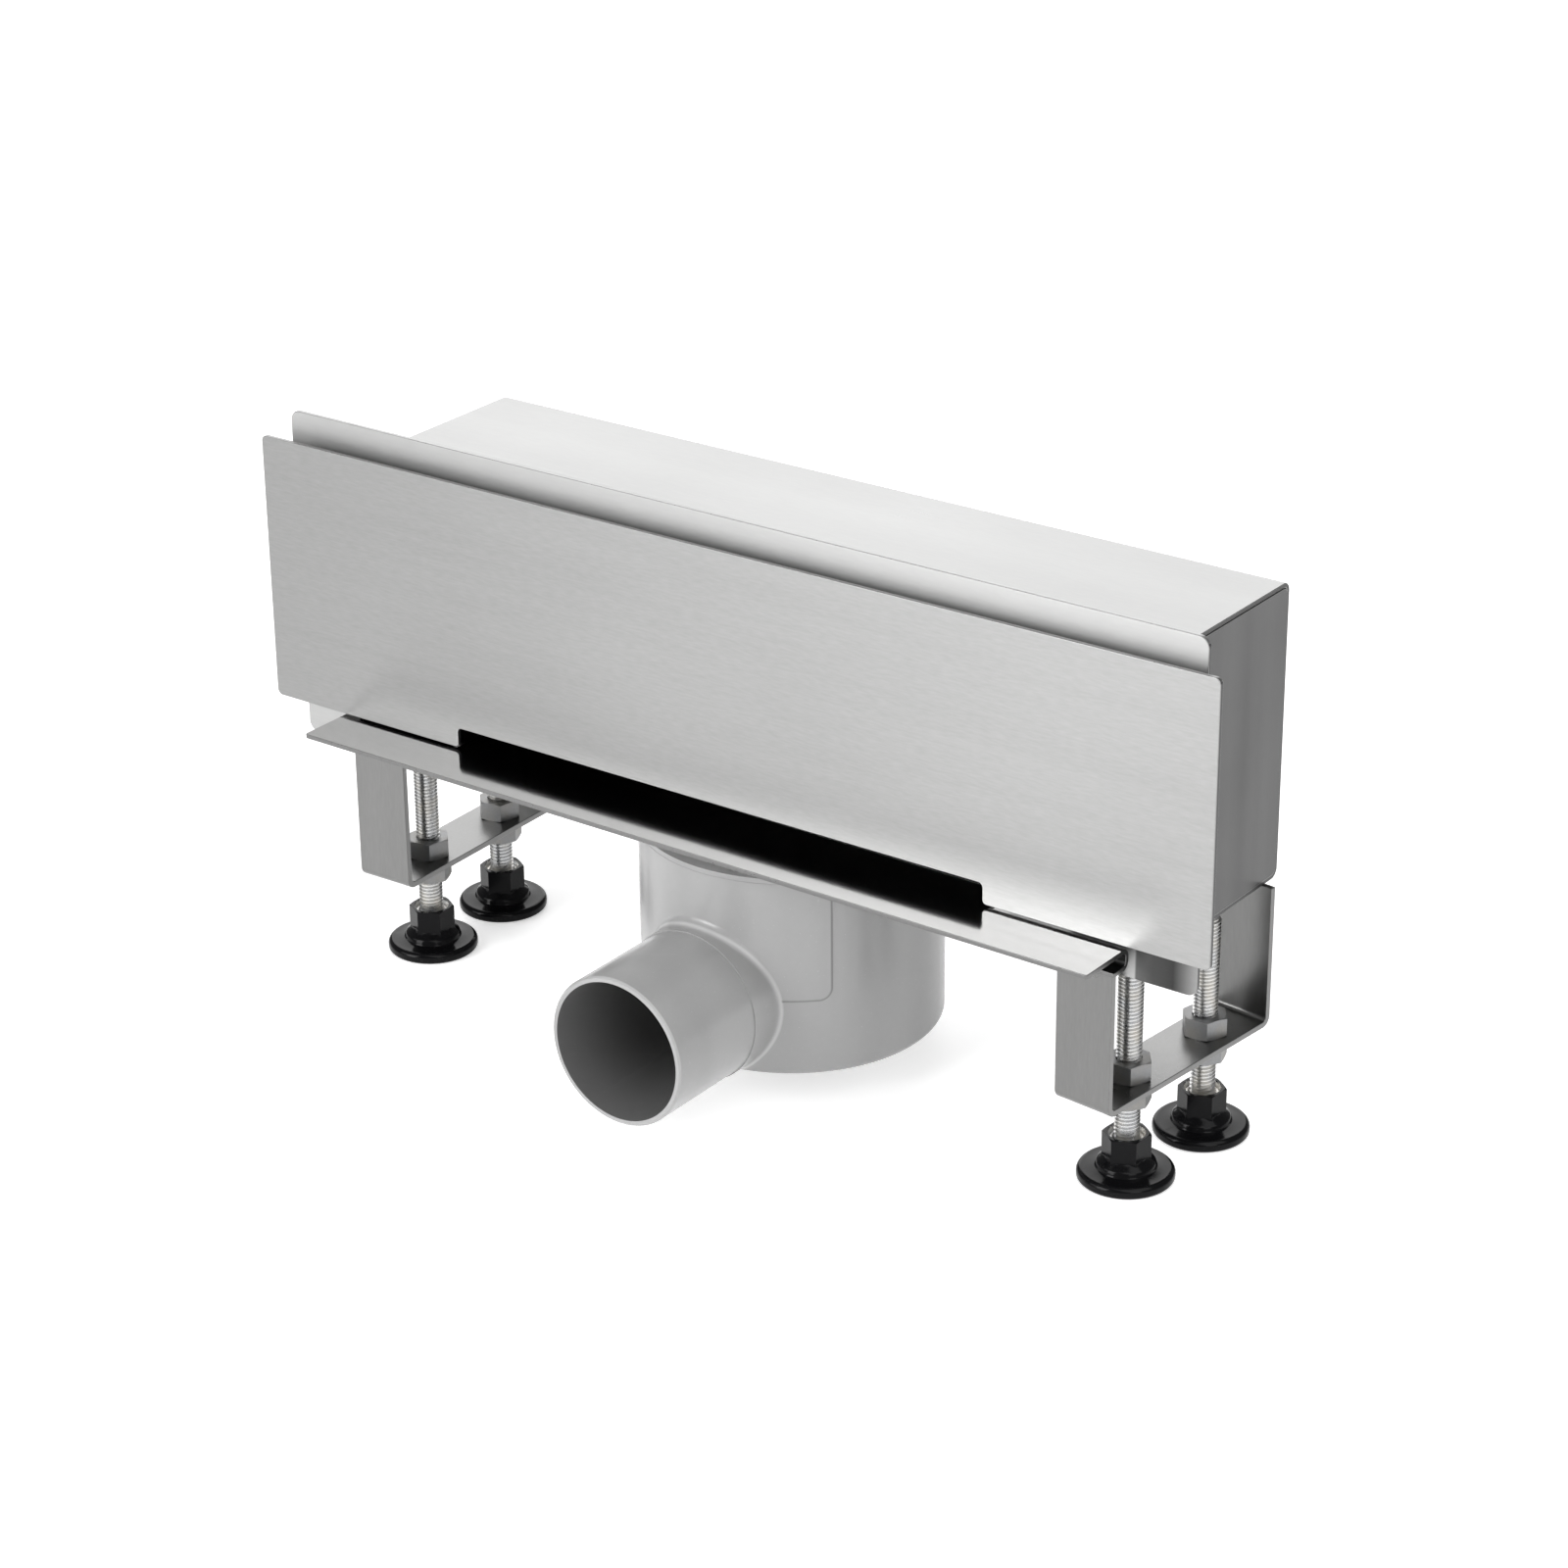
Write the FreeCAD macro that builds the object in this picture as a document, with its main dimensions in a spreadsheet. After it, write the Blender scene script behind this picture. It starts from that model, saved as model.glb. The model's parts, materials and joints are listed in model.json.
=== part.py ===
import FreeCAD, Part
import math
import os
import re
import Sketcher

# Linear shower drain set into a wall: a front cover with a slot along its foot,
# a folded sill in front of it, a welded sheet box behind its mounting flange,
# two strip brackets on four levelling feet, and a moulded trap with a side outlet.
# X runs along the drain, Y from the room into the wall, Z up. The origin is on
# the slab, under the middle of the whole drain.

# Driving dimensions, in millimetres and degrees
SIZES = {
    # levels
    "floor_height": 92.2,        # top of the sill above the slab
    "housing_drop": 11.8,        # underside of the box below the top of the sill
    # front cover
    "cover_width": 360,
    "cover_over": 6.2,           # top of the cover above the top of the box
    "cover_thick": 1.5,
    "cover_corner": 2,
    "cover_gap": 0.9,            # cover's foot above the sill
    "notch_width": 203,
    "notch_height": 6.8,
    "notch_corner": 1.5,
    # magnets that hold the cover off the flange
    "magnet_radius": 6,
    "magnet_height": 4.8,
    "magnet_side": 18.5,         # magnet's axis in from the cover's side
    "magnet_end": 13,            # magnet's axis in from the cover's top and foot
    # mounting flange
    "flange_inset": 7.7,         # flange's end in from the cover's end
    "flange_side": 21.3,         # flange beyond the box's end
    "flange_upper": 14.6,        # flange above the top of the box
    "flange_lower": 0.6,         # flange below the underside of the box
    "flange_thick": 1.5,
    "flange_corner": 3.5,
    "mouth_corner": 2,
    # box behind the flange
    "housing_height": 97.8,
    "housing_depth": 82.9,
    "wall_thick": 1.5,
    "wall_bend": 3.2,            # outer radius of the folds
    "end_proud": 0.3,            # end sheet's face beyond the cut edge of the folded sheet
    "end_gap": 0.8,              # end sheet's corner radius over that of the fold round it
    # sill
    "sill_over": 0.4,            # sill's end beyond the box's end
    "sill_reach": 19.6,          # in front of the cover's face
    "sill_back": 3.3,            # hem's rear face behind the cover's face
    "sill_turn": -0.4,
    "sill_thick": 1.5,
    "sill_bend": 2.8,
    "lip_corner": 1,
    "hem_height": 7,
    "hem_return": 8.2,
    "tongue_side": 2,            # tongue's side beyond the notch's side
    "relief": 1.5,               # slot between the hem's end and the tongue
    "tongue_inside": 6.5,        # tongue behind the flange, up to its fold
    "drip_length": 7,
    "drip_angle": 55,
    # brackets
    "bracket_inset": 11,         # bracket's middle in from the box's end
    "bracket_front": 3,          # front leg's face behind the cover's face
    "bracket_rear": 5.9,         # rear leg's face in front of the box's back
    "bracket_height": 32.9,      # underside of the plate above the slab
    "strip_width": 20.6,
    "strip_thick": 2,
    "strip_bend": 3.4,
    "tab_length": 8,             # tab in front of the front leg
    "rod_hole": 4.6,             # radius
    "left_turn": 1,
    "right_turn": -5.9,
    # levelling rods and nuts
    "rod_radius": 4,
    "rod_clear": 5.4,            # rod's top below the box
    "rod_chamfer": 0.8,
    "rod_front": 23.2,           # front rod behind the front leg's face
    "rod_rear": 20.1,            # rear rod in front of the rear leg's face
    "thread_gap": 0.1,
    "nut_flats": 13,
    "nut_height": 6.5,
    "nut_chamfer": 0.7,
    "chamfer_reach": 1.1,        # chamfer's cone ends at this multiple of the corner's radius
    "upper_nut_turn": 12,        # against the bracket
    "lower_nut_turn": -8,
    # feet
    "foot_radius": 15.3,
    "foot_edge": 3.8,            # thickness of the disc's rounded rim
    "foot_round": 1.7,           # rounding of the rim's upper edge
    "sole_round": 1.3,
    "foot_rise": 0.5,            # disc's top rises from the rim to the flare
    "flare_radius": 9.2,
    "flare_height": 6,
    "flare_round": 1.4,
    "collar_flats": 13.4,
    "collar_start": 7.4,
    "collar_top": 15.6,
    "collar_sink": 1.2,          # collar reaches down into the flare
    "flare_close": 1.5,          # height over which the flare closes on the collar
    "collar_chamfer": 0.6,
    "chamfer_start": 0.1,        # collar's chamfer begins outside its flats
    "foot_turn": 30,
    "recess_radius": 5.9,
    "recess_depth": 1.6,
    "bush_radius": 5.2,
    "bush_height": 8,
    "bush_countersink": 0.5,
    "rod_seat": 4,               # rod's foot above the slab
    # outlet neck under the box
    "neck_radius": 33,
    "neck_wall": 1.2,
    "neck_flange": 36,
    "neck_ledge": 27,            # hole in the neck's inner ledge
    "neck_length": 18.4,         # below the underside of the box
    "hole_gap": 0.3,             # round the neck in the floor
    # trap body
    "trap_setback": 44,          # trap's axis behind the cover's face
    "trap_radius": 49.2,
    "trap_wall": 2.4,
    "trap_bottom": 10.8,         # above the slab
    "trap_base": 2.6,
    "trap_round": 2.4,
    "spigot_height": 34,         # spigot's axis above the slab
    "spigot_radius": 25,
    "spigot_wall": 1.8,
    "spigot_inside": 8,          # spigot's inner end behind the trap's front
    "spigot_reach": 49.5,        # in front of the cover's face
    "spigot_root": 11.3,         # shoulder at the spigot's root, in front of the cover's face
    "root_proud": 0.4,           # shoulder beyond the spigot's outside
    "spigot_fillet": 4.5,
    "spigot_chamfer": 0.6,
    "saddle_angle": 100,
    "saddle_proud": 0.3,
    "saddle_foot": 37.4,         # above the slab
    "saddle_corner": 4,
    # lid welded on the trap body
    "lid_drop": 2.4,             # lid's edge below the underside of the box
    "lid_radius": 49.5,
    "lid_boss": 35.6,
    "lid_ring": 3.5,             # height of the ring inside the trap body's wall
    "socket_wall": 1.8,
    "socket_drop": 14.5,         # below the underside of the box
    # seals
    "seal_space": 2.8,           # between the neck and the lid's socket
    "seal_gap": 0.1,
    "seal_drop": 7.5,            # neck seal below the underside of the box
    "gasket_height": 2,
    # trap insert
    "insert_gap": 0.4,
    "tube_radius": 16,
    "tube_wall": 1.6,
    "tube_flange": 2,
    "tube_rim": 6,               # funnel's rim above the gasket
    "grip_thick": 2.4,
    "tube_end": 26,              # above the slab
    "cup_radius": 26,
    "cup_wall": 1.6,
    "cup_bottom": 17,            # above the slab
    "cup_drop": 8.2,             # cup's rim below the dip tube's flange
    "cup_round": 5,
    "ear_count": 3,
    "ear_width": 9,
    "ear_lap": 3.2,              # ear's foot below the cup's rim
    # strainer
    "strainer_radius": 35.6,
    "strainer_thick": 1,
    "strainer_lip": 3,
    "strainer_hole": 3,          # radius
    "strainer_pitch": 8.6,
    "strainer_rings": 3,
}

# Places worked out from the dimensions
PLACES = {
    "cover_height": "housing_height + cover_over - housing_drop - cover_gap",
    "flange_width": "cover_width - 2 * flange_inset",
    "flange_height": "housing_height + flange_upper + flange_lower",
    "housing_width": "flange_width - 2 * flange_side",
    "sill_length": "housing_width + 2 * sill_over",
    "tongue_width": "notch_width + 2 * tongue_side",
    "bracket_span": "standoff + flange_thick + housing_depth - bracket_rear - bracket_front",
    "bracket_place": "housing_width / 2 - bracket_inset",
    "standoff": "cover_thick + magnet_height",
    "rear_reach": "trap_setback + lid_radius",
    "face": "(spigot_reach - rear_reach) / 2",
    "flange_face": "face + standoff",
    "box_face": "flange_face + flange_thick",
    "box_bottom": "floor_height - housing_drop",
    "box_floor": "box_bottom + wall_thick",
    "wrap_width": "housing_width - 2 * end_proud",
    "cover_bottom": "floor_height + cover_gap",
    "sill_under": "floor_height - sill_thick",
    "mouth_top": "box_bottom + housing_height - wall_thick",
    "hem_bottom": "floor_height - hem_height",
    "strip_top": "bracket_height + strip_thick",
    "rod_length": "box_bottom - rod_clear - rod_seat",
    "trap_axis": "face + trap_setback",
    "lid_top": "box_bottom - flange_lower",
    "lid_bottom": "box_bottom - lid_drop",
    "socket_radius": "neck_radius + seal_space",
    "ledge_top": "box_bottom - neck_length + neck_wall",
    "flange_seat": "ledge_top + gasket_height",
    "cup_rim": "flange_seat - cup_drop",
    "strainer_top": "box_floor + neck_wall + strainer_thick",
    "nut_corner": "nut_flats / sqrt(3)",
    "collar_corner": "collar_flats / sqrt(3)",
}

TINY = 0.01

document = FreeCAD.newDocument("linear_shower_drain")
sheet = document.addObject("Spreadsheet::Sheet", "sizes")
for row, (alias, amount) in enumerate(SIZES.items(), start=1):
    sheet.set("A%d" % row, alias)
    sheet.set("B%d" % row, str(amount))
    sheet.setAlias("B%d" % row, alias)
document.recompute()
finished = []


def bind(text):
    """The text as an expression on the sheet, with each place written out."""
    def word(match):
        name = match.group(0)
        if name in PLACES:
            return "(" + bind(PLACES[name]) + ")"
        return "sizes." + name if name in SIZES else name
    return re.sub(r"[a-z_]{3,}", word, text)


def number(text):
    """The present value of such a text."""
    return float(sheet.evalExpression(bind(text)))


def new_body(name, x="0", y="0", z="0", turn="0"):
    body = document.addObject("PartDesign::Body", name)
    body.Label = name
    body.Placement = FreeCAD.Placement(
        FreeCAD.Vector(number(x), number(y), number(z)),
        FreeCAD.Rotation(FreeCAD.Vector(0, 0, 1), number(turn)))
    body.setExpression("Placement.Base.x", bind(x))
    body.setExpression("Placement.Base.y", bind(y))
    body.setExpression("Placement.Base.z", bind(z))
    body.setExpression("Placement.Rotation.Angle", bind(turn))
    finished.append(body)
    return body


def new_sketch(body, name, plane, lift="0"):
    """A sketch on one of the body's own planes, moved along its normal by lift."""
    sketch = body.newObject("Sketcher::SketchObject", name)
    origin_plane = [item for item in body.Origin.OriginFeatures if item.Role == plane][0]
    sketch.AttachmentSupport = [(origin_plane, "")]
    sketch.MapMode = "FlatFace"
    sketch.setExpression("AttachmentOffset.Base.z", bind(lift))
    return sketch


def fix_point(sketch, item, end, x, y):
    """Hold one end of a sketch line or the middle of a circle at a bound place."""
    for kind, text in (("DistanceX", x), ("DistanceY", y)):
        place = Sketcher.Constraint(kind, -1, 1, item, end, number(text))
        index = sketch.addConstraint(place)
        label = "%s_%d_%d" % (kind, item, end)
        sketch.renameConstraint(index, label)
        sketch.setExpression("Constraints." + label, bind(text))


def draw_outline(sketch, corners):
    """A closed outline of straight lines through the corners, all bound."""
    first = sketch.GeometryCount
    count = len(corners)
    places = [FreeCAD.Vector(number(x), number(y), 0) for x, y in corners]
    for step in range(count):
        sketch.addGeometry(Part.LineSegment(places[step], places[(step + 1) % count]), False)
    for step in range(count):
        following = first + (step + 1) % count
        sketch.addConstraint(Sketcher.Constraint("Coincident", first + step, 2, following, 1))
    for step, (x, y) in enumerate(corners):
        fix_point(sketch, first + step, 1, x, y)


def draw_box(sketch, left, right, low, high):
    draw_outline(sketch, [(left, low), (right, low), (right, high), (left, high)])


def draw_circle(sketch, radius, x="0", y="0"):
    middle = FreeCAD.Vector(number(x), number(y), 0)
    circle = Part.Circle(middle, FreeCAD.Vector(0, 0, 1), number(radius))
    item = sketch.addGeometry(circle, False)
    fix_point(sketch, item, 3, x, y)
    index = sketch.addConstraint(Sketcher.Constraint("Radius", item, number(radius)))
    label = "Radius_%d" % item
    sketch.renameConstraint(index, label)
    sketch.setExpression("Constraints." + label, bind(radius))


def pad(body, name, sketch, length, middle=False, backwards=False):
    feature = body.newObject("PartDesign::Pad", name)
    feature.Profile = sketch
    feature.SideType = "Symmetric" if middle else "One side"
    feature.Reversed = backwards
    feature.setExpression("Length", bind(length))
    document.recompute()
    return feature


def pocket(body, name, sketch, length, middle=False, backwards=False):
    """A cut that has to take something away."""
    before = body.Shape.Volume
    feature = body.newObject("PartDesign::Pocket", name)
    feature.Profile = sketch
    feature.SideType = "Symmetric" if middle else "One side"
    feature.Reversed = backwards
    feature.setExpression("Length", bind(length))
    document.recompute()
    if body.Shape.Volume > before - TINY:
        raise RuntimeError(name + " cuts nothing")
    return feature


def turn_profile(body, name, sketch, cut=False, angle="360", middle=False):
    """The profile turned about the body's own upright axis, added or cut."""
    before = body.Shape.Volume if body.Shape.Solids else 0
    feature = body.newObject("PartDesign::Groove" if cut else "PartDesign::Revolution", name)
    feature.Profile = sketch
    feature.ReferenceAxis = (sketch, ["V_Axis"])
    feature.Midplane = middle
    feature.setExpression("Angle", bind(angle))
    document.recompute()
    if cut and body.Shape.Volume > before - TINY:
        raise RuntimeError(name + " cuts nothing")
    return feature


def edges_where(body, test):
    """Names of the edges of the body so far whose middle and direction pass the test."""
    names = []
    for index, edge in enumerate(body.Shape.Edges, start=1):
        middle = edge.valueAt((edge.FirstParameter + edge.LastParameter) / 2)
        middle = body.Placement.inverse().multVec(middle)
        start, end = edge.valueAt(edge.FirstParameter), edge.valueAt(edge.LastParameter)
        along = body.Placement.Rotation.inverted().multVec(end - start)
        if test(edge, middle, along):
            names.append("Edge%d" % index)
    return names


def soften(body, name, radius, test, kind="Fillet"):
    """A fillet or chamfer on the edges that pass the test."""
    base = body.Tip
    names = edges_where(body, test)
    if not names:
        raise RuntimeError(name + " finds no edge")
    feature = body.newObject("PartDesign::" + kind, name)
    feature.Base = (base, names)
    feature.setExpression("Radius" if kind == "Fillet" else "Size", bind(radius))
    document.recompute()
    return feature


def near(first, second):
    return abs(first - second) < TINY


def along_x(corners):
    """A test for straight edges along X that pass through one of the (y, z) corners."""
    places = [(number(y), number(z)) for y, z in corners]

    def test(edge, middle, along):
        if abs(along.y) + abs(along.z) > TINY or abs(along.x) < TINY:
            return False
        return any(near(middle.y, y) and near(middle.z, z) for y, z in places)
    return test


def along_y(corners):
    """The same for edges along Y and (x, z) corners."""
    places = [(number(x), number(z)) for x, z in corners]

    def test(edge, middle, along):
        if abs(along.x) + abs(along.z) > TINY or abs(along.y) < TINY:
            return False
        return any(near(middle.x, x) and near(middle.z, z) for x, z in places)
    return test


def box_corners(left, right, low, high):
    return [(left, low), (right, low), (right, high), (left, high)]


# Front cover

def make_cover():
    """Flat plate with rounded corners and the inlet slot cut up from its foot."""
    body = new_body("cover_plate", y="face", z="cover_bottom")
    outline = new_sketch(body, "cover_outline", "XZ_Plane")
    half, slot = "cover_width / 2", "notch_width / 2"
    draw_outline(outline, [
        ("-" + half, "0"), ("-" + slot, "0"), ("-" + slot, "notch_height"),
        (slot, "notch_height"), (slot, "0"), (half, "0"),
        (half, "cover_height"), ("-" + half, "cover_height")])
    pad(body, "cover_sheet", outline, "cover_thick", backwards=True)
    soften(body, "cover_corners", "cover_corner", along_y(
        box_corners("-" + half, half, "0", "cover_height")))
    soften(body, "notch_corners", "notch_corner", along_y(
        box_corners("-" + slot, slot, "0", "notch_height")))


def make_magnets():
    """Four round magnets between the cover's back and the flange's face."""
    for side, sign in (("left", "-"), ("right", "")):
        for level, height in (("lower", "cover_bottom + magnet_end"),
                              ("upper", "cover_bottom + cover_height - magnet_end")):
            name = "%s_%s_magnet" % (level, side)
            body = new_body(name, x=sign + "(cover_width / 2 - magnet_side)",
                            y="face + cover_thick", z=height)
            outline = new_sketch(body, name + "_outline", "XZ_Plane")
            draw_circle(outline, "magnet_radius")
            pad(body, name + "_disc", outline, "magnet_height", backwards=True)


# Flange and box

def make_flange():
    """Frame round the mouth of the box; its lower bar is the dam under the sill."""
    body = new_body("flange_frame", y="flange_face", z="box_bottom - flange_lower")
    half, mouth = "flange_width / 2", "(housing_width / 2 - wall_thick)"
    low = "(sill_under - box_bottom + flange_lower)"
    high = "(mouth_top - box_bottom + flange_lower)"
    outline = new_sketch(body, "flange_outline", "XZ_Plane")
    draw_box(outline, "-" + half, half, "0", "flange_height")
    draw_box(outline, "-" + mouth, mouth, low, high)
    pad(body, "flange_sheet", outline, "flange_thick", backwards=True)
    soften(body, "flange_corners", "flange_corner", along_y(
        box_corners("-" + half, half, "0", "flange_height")))
    soften(body, "mouth_corners", "mouth_corner", along_y(
        box_corners("-" + mouth, mouth, low, high)))


def make_wrap():
    """Top, back and floor of the box, folded from one sheet, with the outlet hole."""
    body = new_body("housing_wrap", y="box_face", z="box_bottom")
    outline = new_sketch(body, "wrap_outline", "YZ_Plane")
    deep, tall, wall = "housing_depth", "housing_height", "wall_thick"
    draw_outline(outline, [
        ("0", "0"), (deep, "0"), (deep, tall), ("0", tall),
        ("0", tall + " - " + wall), (deep + " - " + wall, tall + " - " + wall),
        (deep + " - " + wall, wall), ("0", wall)])
    pad(body, "wrap_sheet", outline, "wrap_width", middle=True)
    soften(body, "outer_folds", "wall_bend", along_x([(deep, "0"), (deep, tall)]))
    inner = deep + " - " + wall
    soften(body, "inner_folds", "wall_bend - wall_thick", along_x(
        [(inner, wall), (inner, tall + " - " + wall)]))
    hole = new_sketch(body, "outlet_hole_outline", "XY_Plane")
    draw_circle(hole, "neck_radius + hole_gap", y="trap_axis - box_face")
    pocket(body, "outlet_hole", hole, "wall_thick * 2", middle=True)


def make_ends():
    """The two end sheets, set into the ends of the folded sheet and a little proud."""
    for side, sign in (("left", "-"), ("right", "")):
        body = new_body(side + "_end_sheet", x=sign + "(housing_width - wall_thick) / 2",
                        y="box_face", z="box_bottom")
        outline = new_sketch(body, side + "_end_outline", "YZ_Plane")
        back, top = "housing_depth - wall_thick", "housing_height - wall_thick"
        draw_box(outline, "0", back, "wall_thick", top)
        pad(body, side + "_end", outline, "wall_thick", middle=True)
        soften(body, side + "_end_corners", "wall_bend - wall_thick + end_gap", along_x(
            [(back, "wall_thick"), (back, top)]))


# Sill

def make_sill():
    """One folded sheet: flat lip, hem folded down and forward at its back, and a
    tongue that runs on through the mouth over the dam and folds down as a drip."""
    body = new_body("inlet_sill", y="face", z="floor_height", turn="sill_turn")
    thick = "sill_thick"
    # hem outline, from the lip's front edge round to the return's front edge
    hem = new_sketch(body, "hem_outline", "YZ_Plane")
    draw_outline(hem, [
        ("-sill_reach", "0"), ("sill_back", "0"), ("sill_back", "-hem_height"),
        ("sill_back - hem_return", "-hem_height"),
        ("sill_back - hem_return", "-hem_height + " + thick),
        ("sill_back - " + thick, "-hem_height + " + thick),
        ("sill_back - " + thick, "-" + thick), ("-sill_reach", "-" + thick)])
    pad(body, "hem_sheet", hem, "sill_length", middle=True)
    outer = [("sill_back", "0"), ("sill_back", "-hem_height")]
    inner = [("sill_back - " + thick, "-" + thick),
             ("sill_back - " + thick, "-hem_height + " + thick)]
    soften(body, "hem_outer_folds", "sill_bend", along_x(outer))
    soften(body, "hem_inner_folds", "sill_bend - sill_thick", along_x(inner))
    # the hem is cut away along the tongue, up to the line where its fold begins
    side, end = "(tongue_width / 2 + relief)", "sill_back + sill_thick"
    below = new_sketch(body, "hem_gap_outline", "XY_Plane", lift="-sill_thick")
    draw_box(below, "-" + side, side, "sill_back - hem_return - sill_thick", end)
    pocket(body, "hem_gap", below, "hem_height")
    fold_line = "(sill_back - sill_bend)"
    behind = new_sketch(body, "fold_gap_outline", "XY_Plane")
    draw_box(behind, "-" + side, side, fold_line, end)
    pocket(body, "fold_gap", behind, "sill_bend")
    # the tongue itself, with its drip
    back = "(standoff + flange_thick + tongue_inside)"
    fall, run = "sin(drip_angle)", "cos(drip_angle)"
    tip_y = back + " + drip_length * " + run
    tip_z = "-drip_length * " + fall
    tongue = new_sketch(body, "tongue_outline", "YZ_Plane")
    bend = thick + " * tan(drip_angle / 2)"
    draw_outline(tongue, [
        (fold_line, "0"), (back, "0"), (tip_y, tip_z),
        (tip_y + " - " + thick + " * " + fall, tip_z + " - " + thick + " * " + run),
        (back + " - " + bend, "-" + thick), (fold_line, "-" + thick)])
    pad(body, "tongue_sheet", tongue, "tongue_width", middle=True)
    soften(body, "drip_fold", "sill_bend", along_x([(back, "0")]))
    soften(body, "lip_corners", "lip_corner", lip_corner_test())


def lip_corner_test():
    """Upright edges at the two front corners of the lip."""
    half, reach = number("sill_length / 2"), number("sill_reach")

    def test(edge, middle, along):
        upright = abs(along.x) + abs(along.y) < TINY
        return upright and near(abs(middle.x), half) and near(middle.y, -reach)
    return test


# Brackets

def make_bracket(side, sign):
    """Strip folded to a U with a short tab on its front leg, and two rod holes."""
    body = new_body(side + "_bracket", x=sign + "bracket_place",
                    y="face + bracket_front + bracket_span / 2", z="bracket_height",
                    turn=side + "_turn")
    front, back = "(-bracket_span / 2)", "(bracket_span / 2)"
    thick = "strip_thick"
    leg = "(hem_bottom - bracket_height)"
    rear_leg = "(box_bottom - bracket_height)"
    outline = new_sketch(body, side + "_strip_outline", "YZ_Plane")
    draw_outline(outline, [
        (front, "0"), (back, "0"), (back, rear_leg), (back + " - " + thick, rear_leg),
        (back + " - " + thick, thick), (front + " + " + thick, thick),
        (front + " + " + thick, leg), (front + " - tab_length", leg),
        (front + " - tab_length", leg + " - " + thick), (front, leg + " - " + thick)])
    pad(body, side + "_strip", outline, "strip_width", middle=True)
    soften(body, side + "_outer_folds", "strip_bend", along_x(
        [(front, "0"), (back, "0"), (front + " + " + thick, leg)]))
    soften(body, side + "_inner_folds", "strip_bend - strip_thick", along_x(
        [(front + " + " + thick, thick), (back + " - " + thick, thick),
         (front, leg + " - " + thick)]))
    holes = new_sketch(body, side + "_rod_holes_outline", "XY_Plane")
    draw_circle(holes, "rod_hole", y=front + " + rod_front")
    draw_circle(holes, "rod_hole", y=back + " - rod_rear")
    pocket(body, side + "_rod_holes", holes, "3 * strip_thick", middle=True)


def rod_place(sign, side, row):
    """Where a rod stands: its bracket's middle, with the bracket's turn."""
    along = "(rod_front - bracket_span / 2)" if row == "front" else "(bracket_span / 2 - rod_rear)"
    x = "%sbracket_place - %s * sin(%s_turn)" % (sign, along, side)
    y = "face + bracket_front + bracket_span / 2 + %s * cos(%s_turn)" % (along, side)
    return x, y


def make_rod(name, x, y):
    body = new_body(name, x=x, y=y, z="rod_seat")
    outline = new_sketch(body, name + "_outline", "XZ_Plane")
    draw_outline(outline, [
        ("0", "0"), ("rod_radius - rod_chamfer", "0"), ("rod_radius", "rod_chamfer"),
        ("rod_radius", "rod_length - rod_chamfer"), ("rod_radius - rod_chamfer", "rod_length"),
        ("0", "rod_length")])
    turn_profile(body, name + "_bar", outline)


def draw_hexagon(sketch, corner, flats):
    half = "(" + corner + " / 2)"
    flat = "(" + flats + " / 2)"
    draw_outline(sketch, [
        (corner, "0"), (half, flat), ("-" + half, flat),
        ("-" + corner, "0"), ("-" + half, "-" + flat), (half, "-" + flat)])


def make_nut(name, x, y, z, turn):
    """Hexagon nut with both faces chamfered at their corners."""
    body = new_body(name, x=x, y=y, z=z, turn=turn)
    outline = new_sketch(body, name + "_outline", "XY_Plane")
    draw_hexagon(outline, "nut_corner", "nut_flats")
    pad(body, name + "_block", outline, "nut_height")
    edge = "(nut_flats / 2)"
    for end, level, inward in (("lower", "0", "nut_chamfer"),
                               ("upper", "nut_height", "nut_height - nut_chamfer")):
        corner = new_sketch(body, "%s_%s_chamfer_outline" % (name, end), "XZ_Plane")
        draw_outline(corner, [(edge, level), ("nut_corner * chamfer_reach", level),
                              ("nut_corner * chamfer_reach", inward)])
        turn_profile(body, "%s_%s_chamfer" % (name, end), corner, cut=True)
    bore = new_sketch(body, name + "_bore_outline", "XY_Plane")
    draw_circle(bore, "rod_radius + thread_gap")
    pocket(body, name + "_bore", bore, "2 * nut_height", middle=True)


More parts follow.
